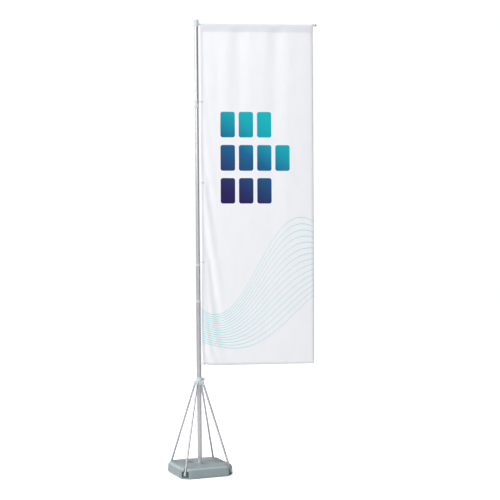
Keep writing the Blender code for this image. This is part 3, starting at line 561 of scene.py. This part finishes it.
def pocket_line():
    """The cloth in section, as (y, z) from its bottom edge up the front, over the arm and down the back."""
    line = [(0.0, z) for z in np.linspace(FOOT, POCKET, ROWS)]
    for share in (0.25, 0.5, 0.75):
        line.append((-POCKET_ROUND * eased(share), POCKET + (ARM_HEIGHT - POCKET) * share))
    for k in range(TURNS + 1):
        a = math.pi * k / TURNS
        line.append((-POCKET_ROUND * math.cos(a), ARM_HEIGHT + POCKET_ROUND * math.sin(a)))
    for share in (0.75, 0.5, 0.25, 0.0):
        back = BACK_PLY + (POCKET_ROUND - BACK_PLY) * eased(share)
        line.append((back, POCKET + (ARM_HEIGHT - POCKET) * share))
    line.append((BACK_PLY, POCKET - SEWN_DOWN))
    return line


def ripple(u):
    """How far the gathered pocket stands in or out, along the arm."""
    return 0.0042 * math.sin(2 * math.pi * u / 0.31 + 0.7) + 0.0026 * math.sin(2 * math.pi * u / 0.173 + 2.1)


section = pocket_line()
lengths = [0.0]
for (y0, z0), (y1, z1) in zip(section, section[1:]):
    lengths.append(lengths[-1] + math.hypot(y1 - y0, z1 - z0))
CUT_LENGTH = lengths[-1]
bm = bmesh.new()
cut_map = bm.loops.layers.uv.new("cut")
random.seed(7)
grid = []
for y, z in section:
    gathered = max(0.0, min(1.0, (z - FOOT) / DROP)) ** 2
    in_pocket = max(0.0, (z - POCKET) / (ARM_HEIGHT - POCKET))
    row = []
    for k in range(PER_ROW):
        u = k / COLUMNS
        x = LEFT + WIDTH * (u - (u - 0.5) * GATHER * gathered)
        wave = ripple(u * WIDTH) * gathered * max(0.0, 1.0 - in_pocket * 1.6)
        row.append(bm.verts.new((x, y + wave + random.uniform(-CREASE, CREASE), z)))
    grid.append(row)
for r in range(len(grid) - 1):
    for k in range(COLUMNS):
        corners = ((r, k), (r, k + 1), (r + 1, k + 1), (r + 1, k))
        face = bm.faces.new([grid[i][j] for i, j in corners])
        for loop, (i, j) in zip(face.loops, corners):
            loop[cut_map].uv = (j / COLUMNS, lengths[i] / CUT_LENGTH)
mesh = bpy.data.meshes.new("banner_cloth")
bm.to_mesh(mesh)
bm.free()
banner = placed("banner_cloth", mesh)

pinned = {v.index for v in mesh.vertices if v.index // PER_ROW >= ROWS - 1}
for centre in holds:
    pinned |= {v.index for v in mesh.vertices if math.hypot(v.co.x - centre.x, v.co.z - centre.z) < HOLD}
banner.vertex_groups.new(name="held").add(sorted(pinned), 1.0, "REPLACE")


def hung(obj, frames):
    """Let the cloth hang and settle in a light draught, and keep the shape it takes."""
    scene = bpy.context.scene
    draught = placed("draught", None)
    draught.location = (0.5, -1.5, 2.2)
    draught.rotation_euler = (math.radians(-90), 0, math.radians(12))
    bpy.context.view_layer.objects.active = draught
    bpy.context.view_layer.update()
    with bpy.context.temp_override(object=draught, active_object=draught, selected_objects=[draught]):
        bpy.ops.object.forcefield_toggle()
    draught.field.type = "WIND"
    draught.field.strength = 1.4
    draught.field.noise = 2.5
    draught.field.seed = 4
    cloth = obj.modifiers.new("cloth", "CLOTH")
    cloth.settings.quality = 7
    cloth.settings.mass = 0.15
    cloth.settings.tension_stiffness = 60
    cloth.settings.compression_stiffness = 60
    cloth.settings.shear_stiffness = 25
    cloth.settings.bending_stiffness = 0.35
    cloth.settings.air_damping = 2.0
    cloth.settings.vertex_group_mass = "held"
    cloth.settings.use_dynamic_mesh = False
    cloth.collision_settings.use_collision = False
    cloth.collision_settings.use_self_collision = False
    cloth.point_cache.frame_start = 1
    cloth.point_cache.frame_end = frames
    for number in range(1, frames + 1):
        scene.frame_set(number)
    evaluated_mesh(obj)
    scene.frame_set(1)
    bpy.data.objects.remove(draught)


hung(banner, FRAMES)

# the draught can't carry the cloth past this, and the eyelets and their patches hold it flat round them
for v in banner.data.vertices:
    nearest = min(math.hypot(v.co.x - c.x, max(FOOT - FOOT_SLACK, v.co.z) - c.z) for c in holds)
    away = max(0.0, min(1.0, (nearest - FLAT_PATCH) / PATCH_EASE))
    v.co.y = max(-FARTHEST, min(FARTHEST, v.co.y)) * eased(away)
    v.co.z = max(FOOT - FOOT_SLACK, v.co.z)
settled = [v.co.copy() for v in banner.data.vertices]
banner.data.shade_smooth()

# ---------------------------------------------------------------- banner print
# A plain generic print: evenly spaced rounded blocks, dyed from teal to deep blue, over a wave of thin lines.
# The ink goes through the cloth, so the back shows it too, a little paler.
# Places are in metres: u runs from the hoist edge and depth down from the top.
BLOCK, BLOCK_PITCH, BLOCK_CORNER = 0.128, 0.162, 0.020
BLOCK_START = 0.172
BLOCK_ROWS = ((0.774, 0.999, 3), (1.065, 1.292, 4), (1.356, 1.580, 3))
INK_EDGE = 0.0008
TEAL, MID_BLUE, DEEP_BLUE = (0.0, 0.46, 0.50, 1), (0.004, 0.115, 0.27, 1), (0.016, 0.006, 0.088, 1)
WAVE_TEAL, WAVE_STRENGTH = (0.20, 0.66, 0.68), 0.80
WAVE_LINES = 15.0
PLY_EDGE = 0.0006


def block_ink(tree, u, depth):
    """Where the blocks are printed: the distance to a rounded box, repeated along each row."""
    ink = None
    step = maths(tree, "FLOOR", maths(tree, "DIVIDE", maths(tree, "SUBTRACT", u, BLOCK_START), BLOCK_PITCH))
    for top, foot, count in BLOCK_ROWS:
        number = maths(tree, "MINIMUM", maths(tree, "MAXIMUM", step, 0.0), float(count - 1))
        middle = maths(tree, "MULTIPLY_ADD", number, BLOCK_PITCH, BLOCK_START + BLOCK / 2)
        across = off_from(tree, u, middle)
        down = off_from(tree, depth, (top + foot) / 2)
        over_x = maths(tree, "MAXIMUM", maths(tree, "SUBTRACT", across, BLOCK / 2 - BLOCK_CORNER), 0.0)
        over_y = maths(tree, "MAXIMUM", maths(tree, "SUBTRACT", down, (foot - top) / 2 - BLOCK_CORNER), 0.0)
        squares = maths(tree, "MULTIPLY_ADD", over_x, over_x, maths(tree, "MULTIPLY", over_y, over_y))
        past = maths(tree, "SQRT", squares)
        printed = between(tree, past, BLOCK_CORNER - INK_EDGE, BLOCK_CORNER + INK_EDGE, 1.0, 0.0)
        ink = printed if ink is None else maths(tree, "MAXIMUM", ink, printed)
    return ink


def block_dye(tree, u, depth):
    """The blocks' colour, which runs from teal at the upper right to deep blue at the lower left."""
    run = maths(tree, "SUBTRACT", maths(tree, "MULTIPLY", depth, 1.15), maths(tree, "MULTIPLY", u, 0.75))
    ramp = tree.nodes.new("ShaderNodeValToRGB")
    stops = ramp.color_ramp.elements
    stops[0].position = 0.0
    stops[0].color = TEAL
    stops[1].position = 1.0
    stops[1].color = DEEP_BLUE
    stops.new(0.5).color = MID_BLUE
    tree.links.new(between(tree, run, 0.42, 1.62), ramp.inputs["Fac"])
    return ramp.outputs["Color"]


def wave_ink(tree, u, depth):
    """Thin lines between two plain sine curves, which draw together towards the hoist edge."""
    rise = maths(tree, "SINE", maths(tree, "MULTIPLY_ADD", u, 5.2, 0.55))
    upper = maths(tree, "MULTIPLY_ADD", rise, 0.26, maths(tree, "MULTIPLY_ADD", u, -0.52, 2.37))
    sway = maths(tree, "SINE", maths(tree, "MULTIPLY_ADD", u, 4.1, -0.35))
    lower = maths(tree, "MULTIPLY_ADD", sway, 0.15, maths(tree, "MULTIPLY_ADD", u, -0.36, 2.86))
    span = maths(tree, "SUBTRACT", lower, upper)
    share = maths(tree, "DIVIDE", maths(tree, "SUBTRACT", depth, upper), span)
    off = off_from(tree, maths(tree, "FRACT", maths(tree, "MULTIPLY", share, WAVE_LINES)), 0.5)
    away = maths(tree, "MULTIPLY", off, maths(tree, "DIVIDE", span, WAVE_LINES))
    thin = between(tree, away, 0.0022, 0.0034, 1.0, 0.0)
    below_upper = maths(tree, "GREATER_THAN", share, 0.0)
    above_lower = maths(tree, "LESS_THAN", share, 1.0)
    return maths(tree, "MULTIPLY", thin, maths(tree, "MULTIPLY", below_upper, above_lower))


def double_cloth(tree, u, depth):
    """Where the cloth lies double, at the pocket and the hems. It lets less light by, and that is painted
    below as shade.
    """
    from_edge = maths(tree, "MINIMUM", u, maths(tree, "SUBTRACT", WIDTH, u))
    side_hem = between(tree, from_edge, HEM - PLY_EDGE, HEM + PLY_EDGE, 1.0, 0.0)
    foot_hem = between(tree, depth, DROP - HEM - PLY_EDGE, DROP - HEM + PLY_EDGE)
    pocket = between(tree, depth, TOP - POCKET - PLY_EDGE, TOP - POCKET + PLY_EDGE, 1.0, 0.0)
    return maths(tree, "MAXIMUM", maths(tree, "MAXIMUM", side_hem, foot_hem), pocket)


def cloth_material(name, ink_strength):
    """White woven cloth with its print, at a strength for its face."""
    material, tree, shader = plain_material(name, (0.86, 0.865, 0.885), 0.82)
    shader.inputs["Sheen Weight"].default_value = 0.15
    shader.inputs["Specular IOR Level"].default_value = 0.25
    cut = tree.nodes.new("ShaderNodeUVMap")
    cut.uv_map = "cut"
    shares = tree.nodes.new("ShaderNodeSeparateXYZ")
    tree.links.new(cut.outputs[0], shares.inputs[0])
    u = maths(tree, "MULTIPLY", shares.outputs["X"], WIDTH)
    depth = maths(tree, "SUBTRACT", DROP, maths(tree, "MULTIPLY", shares.outputs["Y"], CUT_LENGTH))

    uneven = noise(tree, 14.0, 4.0, cut.outputs[0])
    ground = mixed(tree, uneven, (0.825, 0.832, 0.858), (0.875, 0.88, 0.90))
    double = double_cloth(tree, u, depth)
    # Painted shade: where the cloth lies double, its colour is darkened to stand for the lesser light through
    # it.
    double_painted_shade = mixed(tree, double, ground, (0.74, 0.75, 0.785), 0.85)
    lined = mixed(tree, wave_ink(tree, u, depth), double_painted_shade, WAVE_TEAL, WAVE_STRENGTH * ink_strength)
    printed = mixed(tree, block_ink(tree, u, depth), lined, block_dye(tree, u, depth), ink_strength)
    tree.links.new(printed, shader.inputs["Base Color"])

    threads = tree.nodes.new("ShaderNodeTexWave")
    threads.inputs["Scale"].default_value = 260.0
    threads.inputs["Distortion"].default_value = 0.4
    tree.links.new(cut.outputs[0], threads.inputs["Vector"])
    weave = maths(tree, "MULTIPLY", threads.outputs["Fac"], 0.35)
    bumped(tree, shader, maths(tree, "MULTIPLY_ADD", double, 1.2, weave), 0.18, 0.0004)
    return material


def gathers(obj):
    """Give the cloth, or what is sewn to it, its own copy of its mesh."""
    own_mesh(obj)


thickness = banner.modifiers.new("cloth_thickness", "SOLIDIFY")
thickness.thickness = CLOTH
thickness.offset = 0.0
thickness.material_offset = 1
evaluated_mesh(banner)
fitted(banner, "swivel_arm", ["banner"], cloth_material("printed_cloth_front", 1.0))
banner.data.materials.append(cloth_material("printed_cloth_back", 0.78))
gathers(banner)

# ---------------------------------------------------------------- stitching
# White lockstitch: two rows along the pocket, one inside each hem, and a square round each eyelet. The hoist
# hem's row stops short of the eyelets. Each stitch is a short length of thread lying on the cloth.
STITCH = 0.0042
STITCH_SHARE = 0.72
THREAD = 0.00042
ROW_PITCH = 0.0130
PATCH_HALF = 0.017
INSIDE_HEM = HEM - 0.003


def on_cloth(u, row):
    """The settled cloth's place at a share across and at a row with its fraction."""
    k = min(COLUMNS - 1, int(u * COLUMNS))
    t = u * COLUMNS - k
    r = min(len(section) - 2, int(row))
    a = settled[r * PER_ROW + k].lerp(settled[r * PER_ROW + k + 1], t)
    b = settled[(r + 1) * PER_ROW + k].lerp(settled[(r + 1) * PER_ROW + k + 1], t)
    return a.lerp(b, row - r)


def row_at(depth):
    """The row, with its fraction, that lies this far below the top."""
    return (TOP - depth - FOOT) / (POCKET - FOOT) * (ROWS - 1)


def both_faces(points):
    """A seam's line on both faces of the cloth, as two lists of places."""
    lift = CLOTH / 2 + THREAD * 0.3
    return [[p + Vector((0, side * lift, 0)) for p in points] for side in (-1, 1)]


def clear_of_eyelets(points):
    """A line up the hoist hem, cut where it would run through an eyelet's patch."""
    runs = [[]]
    for point in points:
        if min(abs(point.z - c.z) for c in holds) >= PATCH_HALF:
            runs[-1].append(point)
        elif runs[-1]:
            runs.append([])
    return [run for run in runs if len(run) > 1]


def patch_square(centre):
    """The closed line round one eyelet, narrower towards the mast."""
    corners = [(-PATCH_HALF * 0.8, -1), (PATCH_HALF, -1), (PATCH_HALF, 1), (-PATCH_HALF * 0.8, 1)]
    outline = []
    for (x0, up0), (x1, up1) in zip(corners, corners[1:] + corners[:1]):
        for t in np.linspace(0, 1, 8, endpoint=False):
            u = max(0.002, (centre.x + x0 + (x1 - x0) * t - LEFT) / WIDTH)
            below = TOP - centre.z - (up0 + (up1 - up0) * t) * PATCH_HALF
            outline.append(on_cloth(u, row_at(min(DROP - 0.003, below))))
    return outline + outline[:1]


across = np.linspace(0.004, 0.996, 170)
rows_up = [share * (ROWS - 1) for share in np.linspace(0.004, 1.0, 480)]
seams = []
for below in (0.004, 0.010):
    seams += both_faces([on_cloth(u, ROWS - 1 - below / ROW_PITCH) for u in across])
seams += both_faces([on_cloth(1 - INSIDE_HEM / WIDTH, row) for row in rows_up])
for run in clear_of_eyelets([on_cloth(INSIDE_HEM / WIDTH, row) for row in rows_up]):
    seams += both_faces(run)
seams += both_faces([on_cloth(u, row_at(DROP - INSIDE_HEM)) for u in across])
for centre in holds:
    seams += both_faces(patch_square(centre))
points, edges = [], []
for line in seams:
    edges += [(len(points) + i, len(points) + i + 1) for i in range(len(line) - 1)]
    points += line
seam_lines = bpy.data.meshes.new("seam_lines")
seam_lines.from_pydata(points, edges, [])
stitching = placed("banner_stitching", seam_lines)


def repeating_tree(name, sizes):
    """An empty Geometry Nodes tree with a named input for each size."""
    tree = bpy.data.node_groups.new(name, "GeometryNodeTree")
    tree.interface.new_socket("Geometry", in_out="INPUT", socket_type="NodeSocketGeometry")
    for size in sizes:
        tree.interface.new_socket(size, in_out="INPUT", socket_type="NodeSocketFloat")
    tree.interface.new_socket("Geometry", in_out="OUTPUT", socket_type="NodeSocketGeometry")
    return tree, tree.nodes.new("NodeGroupInput").outputs


def set_out(tree, points, piece, way, material):
    """End a tree: the piece stood up along a direction at each point, made real and given its material."""
    aligned = tree.nodes.new("FunctionNodeAlignRotationToVector")
    aligned.axis = "Z"
    on_points = tree.nodes.new("GeometryNodeInstanceOnPoints")
    realize = tree.nodes.new("GeometryNodeRealizeInstances")
    coloured = tree.nodes.new("GeometryNodeSetMaterial")
    coloured.inputs["Material"].default_value = material
    for socket, into in (
        (way, aligned.inputs["Vector"]),
        (points, on_points.inputs["Points"]),
        (piece, on_points.inputs["Instance"]),
        (aligned.outputs[0], on_points.inputs["Rotation"]),
        (on_points.outputs[0], realize.inputs[0]),
        (realize.outputs[0], coloured.inputs["Geometry"]),
        (coloured.outputs[0], tree.nodes.new("NodeGroupOutput").inputs[0]),
    ):
        tree.links.new(socket, into)


def repeated(obj, tree, sizes):
    """Run a tree on an object at its own sizes, and keep the result as a plain mesh."""
    modifier = obj.modifiers.new(tree.name, "NODES")
    modifier.node_group = tree
    for socket in tree.interface.items_tree:
        if socket.in_out == "INPUT" and socket.name in sizes:
            modifier[socket.identifier] = sizes[socket.name]
    evaluated_mesh(obj)


white_thread, tree, shader = plain_material("white_thread", (0.80, 0.81, 0.83), 0.75)
two_toned(tree, shader, 300.0, 2.0, (0.70, 0.71, 0.74), (0.84, 0.85, 0.87))

lockstitch, sizes_in = repeating_tree("lockstitch", ("Pitch", "Thread"))
to_curve = lockstitch.nodes.new("GeometryNodeMeshToCurve")
spaced = lockstitch.nodes.new("GeometryNodeResampleCurve")
spaced.mode = "LENGTH"
tangent = lockstitch.nodes.new("GeometryNodeInputTangent")
one_stitch = lockstitch.nodes.new("GeometryNodeMeshCylinder")
one_stitch.inputs["Vertices"].default_value = 6
for socket, into in (
    (sizes_in["Geometry"], to_curve.inputs[0]),
    (to_curve.outputs[0], spaced.inputs["Curve"]),
    (sizes_in["Pitch"], spaced.inputs["Length"]),
    (sizes_in["Thread"], one_stitch.inputs["Radius"]),
    (maths(lockstitch, "MULTIPLY", sizes_in["Pitch"], STITCH_SHARE), one_stitch.inputs["Depth"]),
):
    lockstitch.links.new(socket, into)
set_out(lockstitch, spaced.outputs[0], one_stitch.outputs["Mesh"], tangent.outputs[0], white_thread)
repeated(stitching, lockstitch, {"Pitch": STITCH, "Thread": THREAD})
fitted(stitching, "swivel_arm", [], white_thread)
gathers(stitching)

# ---------------------------------------------------------------- grommets and hoist loops
# Nickel-plated brass eyelets are pressed through the hoist edge. A nylon wire loop goes through each one and
# round the mast, loose enough to ride past the bushes.
EYELET_HOLE, EYELET_NECK, EYELET_BEAD = 0.0035, 0.0050, 0.0006
NOSE = 0.0048


def unevenly_polished(tree, shader, scale, glossy, dull):
    """A metal's gloss, which handling has left in patches."""
    patches = noise(tree, scale, 4.0, object_place(tree))
    tree.links.new(between(tree, patches, 0.3, 0.7, glossy, dull), shader.inputs["Roughness"])


def eyelet_profile(flange, proud):
    """An eyelet in section: a rolled flange on each face of the cloth, and the neck between them."""
    hole, neck, bead = EYELET_HOLE, EYELET_NECK, EYELET_BEAD
    return [
        (neck, CLOTH), (flange - bead, CLOTH), (flange, proud - bead), (flange - bead, proud),
        (hole + bead, proud), (hole, proud - bead), (hole, bead - proud), (hole + bead, -proud),
        (flange - bead, -proud), (flange, bead - proud), (flange - bead, -CLOTH), (neck, -CLOTH),
    ]


def wire_loop(name, low, high):
    """A loop of wire in its solid's box: a ring round the mast, drawn in to a nose through the eyelet."""
    wire = (high.z - low.z) / 2
    ring = high.y - wire
    nose_x = high.x - wire - NOSE
    meets = math.acos((ring - NOSE) / nose_x)
    path = [(ring * math.cos(a), ring * math.sin(a)) for a in np.linspace(meets, 2 * math.pi - meets, 56)]
    path += [(nose_x + NOSE * math.cos(a), NOSE * math.sin(a)) for a in np.linspace(-meets, meets, 18)]
    curve = bpy.data.curves.new(name, "CURVE")
    curve.dimensions = "3D"
    curve.bevel_depth = wire
    curve.bevel_resolution = 3
    spline = curve.splines.new("POLY")
    spline.points.add(len(path) - 1)
    for point, (x, y) in zip(spline.points, path):
        point.co = (x, y, (low.z + high.z) / 2, 1.0)
    spline.use_cyclic_u = True
    drawn_line = placed(f"{name}_line", curve)
    bpy.context.view_layer.update()
    mesh = bpy.data.meshes.new_from_object(drawn_line.evaluated_get(bpy.context.evaluated_depsgraph_get()))
    bpy.data.objects.remove(drawn_line)
    mesh.shade_smooth()
    return placed(name, mesh)


nickel_plate, tree, shader = plain_material("nickel_plate", (0.66, 0.65, 0.62), 0.24, 1.0)
unevenly_polished(tree, shader, 160.0, 0.18, 0.36)
two_toned(tree, shader, 60.0, 3.0, (0.58, 0.57, 0.54), (0.70, 0.69, 0.66))
for number, ((low, high), centre) in enumerate(zip(eyelet_boxes, holds), 1):
    body = f"hoist_loop_{number}"
    along_y = Matrix.Translation(centre) @ Matrix.Rotation(-math.pi / 2, 4, "X")
    profile = eyelet_profile((high.x - low.x) / 2, (high.y - low.y) / 2)
    eyelet = turned(f"eyelet_{number}", profile, along_y, sides=48)
    fitted(eyelet, body, [f"grommet_{number}"], nickel_plate)
    loop = wire_loop(f"hoist_loop_wire_{number}", *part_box(f"hoist_loop_{number}"))
    fitted(loop, body, [f"hoist_loop_{number}"], pale_nylon)

# ---------------------------------------------------------------- hub, pins and clamp knob
# The hub is one nylon moulding that grips the lowest tube, with a pair of ears for each strut.
# The pins are zinc-plated steel. The knob is screwed on a steel stud, and its lobes give the fingers hold.
HUB_PIN, BRACKET_PIN, KNOB_STUD = 0.0025, 0.0040, 0.0030


def pin(name, node, body, radius, direction):
    """A plain pin with chamfered ends, through the middle of its solid."""
    solid = np.array([v.co for v in frame["nodes"][node].data.vertices])
    middle = Vector((solid.max(0) + solid.min(0)) / 2)
    reach = float(np.abs((solid - np.array(middle)) @ np.array(direction)).max())
    chamfer = radius * 0.22
    profile = [
        (0.0, -reach), (radius - chamfer, -reach), (radius, chamfer - reach),
        (radius, reach - chamfer), (radius - chamfer, reach), (0.0, reach),
    ]
    turned_to = Matrix.Translation(middle) @ direction.to_track_quat("Z", "Y").to_matrix().to_4x4()
    fitted(turned(name, profile, turned_to, closed=False, sides=40), body, [node], zinc_plate)


fitted(moulded("strut_hub", "hub", 0.0009, 3), "stand", ["hub"], pale_nylon)
knob = moulded("clamp_knob_moulded", "clamp_knob", 0.0006, 3)
fitted(knob, "clamp_knob", ["clamp_knob"], pale_nylon)

zinc_plate, tree, shader = plain_material("zinc_plate", (0.56, 0.57, 0.59), 0.33, 1.0)
two_toned(tree, shader, 90.0, 5.0, (0.46, 0.47, 0.50), (0.62, 0.63, 0.64))
unevenly_polished(tree, shader, 240.0, 0.25, 0.46)
folds = [next(j for j in frame["joints"] if j["name"] == f"strut_fold_{n}") for n in range(1, 5)]
for number, fold in enumerate(folds, 1):
    across = Vector(fold["axis"]).normalized()
    pin(f"hub_pin_turned_{number}", f"hub_pin_{number}", "stand", HUB_PIN, across)
    pin(f"bracket_pin_turned_{number}", f"bracket_pin_{number}", "stand", BRACKET_PIN, across)
pin("knob_stud_turned", "knob_stud", "clamp_knob", KNOB_STUD, knob_axis.normalized())

# ---------------------------------------------------------------- struts and corner brackets
# Four aluminium tubes with a nylon head on the hub's pin and a hooked foot over the bracket's pin.
# Two domed rivets hold each end. The grey brackets are screwed into the back of the tank's corner pockets.
STRUT_RADIUS, STRUT_WALL = 0.0090, 0.0015
HEAD_END, FOOT_END = 0.0243, 0.0223
RIVET, RIVET_INSET = 0.0024, 0.012
SCREW, SCREW_ACROSS, SCREW_RISE = 0.0034, 0.021, 0.011
PIN_TO_PLATE = 0.030

domed_head, sizes_in = repeating_tree("domed_heads", ("Radius",))
ball = domed_head.nodes.new("GeometryNodeMeshUVSphere")
ball.inputs["Segments"].default_value = 16
ball.inputs["Rings"].default_value = 8
domed_head.links.new(sizes_in["Radius"], ball.inputs["Radius"])
flattened = domed_head.nodes.new("GeometryNodeTransform")
flattened.inputs["Scale"].default_value = (1.0, 1.0, 0.5)
domed_head.links.new(ball.outputs["Mesh"], flattened.inputs["Geometry"])
facing = domed_head.nodes.new("GeometryNodeInputNamedAttribute")
facing.data_type = "FLOAT_VECTOR"
facing.inputs["Name"].default_value = "outward"
set_out(domed_head, sizes_in["Geometry"], flattened.outputs[0], facing.outputs[0], zinc_plate)


def domed_heads(name, body, places, radius):
    """Rivet or screw heads at (place, outward) pairs, as one mesh for one body."""
    mesh = bpy.data.meshes.new(name)
    mesh.from_pydata([p for p, _ in places], [], [])
    outward = mesh.attributes.new("outward", "FLOAT_VECTOR", "POINT")
    for item, (_, way) in zip(outward.data, places):
        item.vector = way
    obj = placed(name, mesh)
    repeated(obj, domed_head, {"Radius": radius})
    obj.data.shade_smooth()
    fitted(obj, body, [], zinc_plate)


strut_aluminium = drawn_aluminium("strut_aluminium", (0.58, 0.585, 0.60), 0.36)
bracket_skin = nylon("bracket_skin", (0.26, 0.30, 0.32), (0.31, 0.35, 0.37), 0.50)
screw_places = []
for number, fold in enumerate(folds, 1):
    body = f"strut_{number}"
    across = Vector(fold["axis"]).normalized()
    pivot = Vector(fold["pos_m"])
    pin_low, pin_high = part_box(f"bracket_pin_{number}")
    hooked_on = (pin_low + pin_high) / 2
    down = hooked_on - pivot
    reach = down.length
    down.normalize()
    lie = Matrix.Translation(pivot) @ down.to_track_quat("Z", "Y").to_matrix().to_4x4()
    profile = tube_profile(STRUT_RADIUS, STRUT_WALL, HEAD_END, reach - FOOT_END)
    strut = turned(f"strut_tube_drawn_{number}", profile, lie, sides=64)
    fitted(strut, body, [f"strut_tube_{number}"], strut_aluminium)
    for end in ("head", "foot"):
        moulding = moulded(f"strut_{end}_moulded_{number}", f"strut_{end}_{number}", 0.0007, 3)
        fitted(moulding, body, [f"strut_{end}_{number}"], pale_nylon)
    bracket = moulded(f"strut_bracket_moulded_{number}", f"strut_bracket_{number}", 0.0008, 2)
    fitted(bracket, "stand", [f"strut_bracket_{number}"], bracket_skin)

    outward = across.cross(down)
    rivet_places = [
        (pivot + down * along + side * STRUT_RADIUS * outward, side * outward)
        for along in (HEAD_END + RIVET_INSET, reach - FOOT_END - RIVET_INSET)
        for side in (-1, 1)
    ]
    domed_heads(f"{body}_rivets", body, rivet_places, RIVET)

    out = Vector((0, 0, 1)).cross(across).normalized()
    if out.dot(Vector((hooked_on.x, hooked_on.y, 0))) < 0:
        out = -out
    screw_places += [
        (hooked_on - out * PIN_TO_PLATE + across * a + Vector((0, 0, h)), out)
        for a in (-SCREW_ACROSS, SCREW_ACROSS)
        for h in (-SCREW_RISE, SCREW_RISE)
    ]
domed_heads("bracket_screws", "stand", screw_places, SCREW)
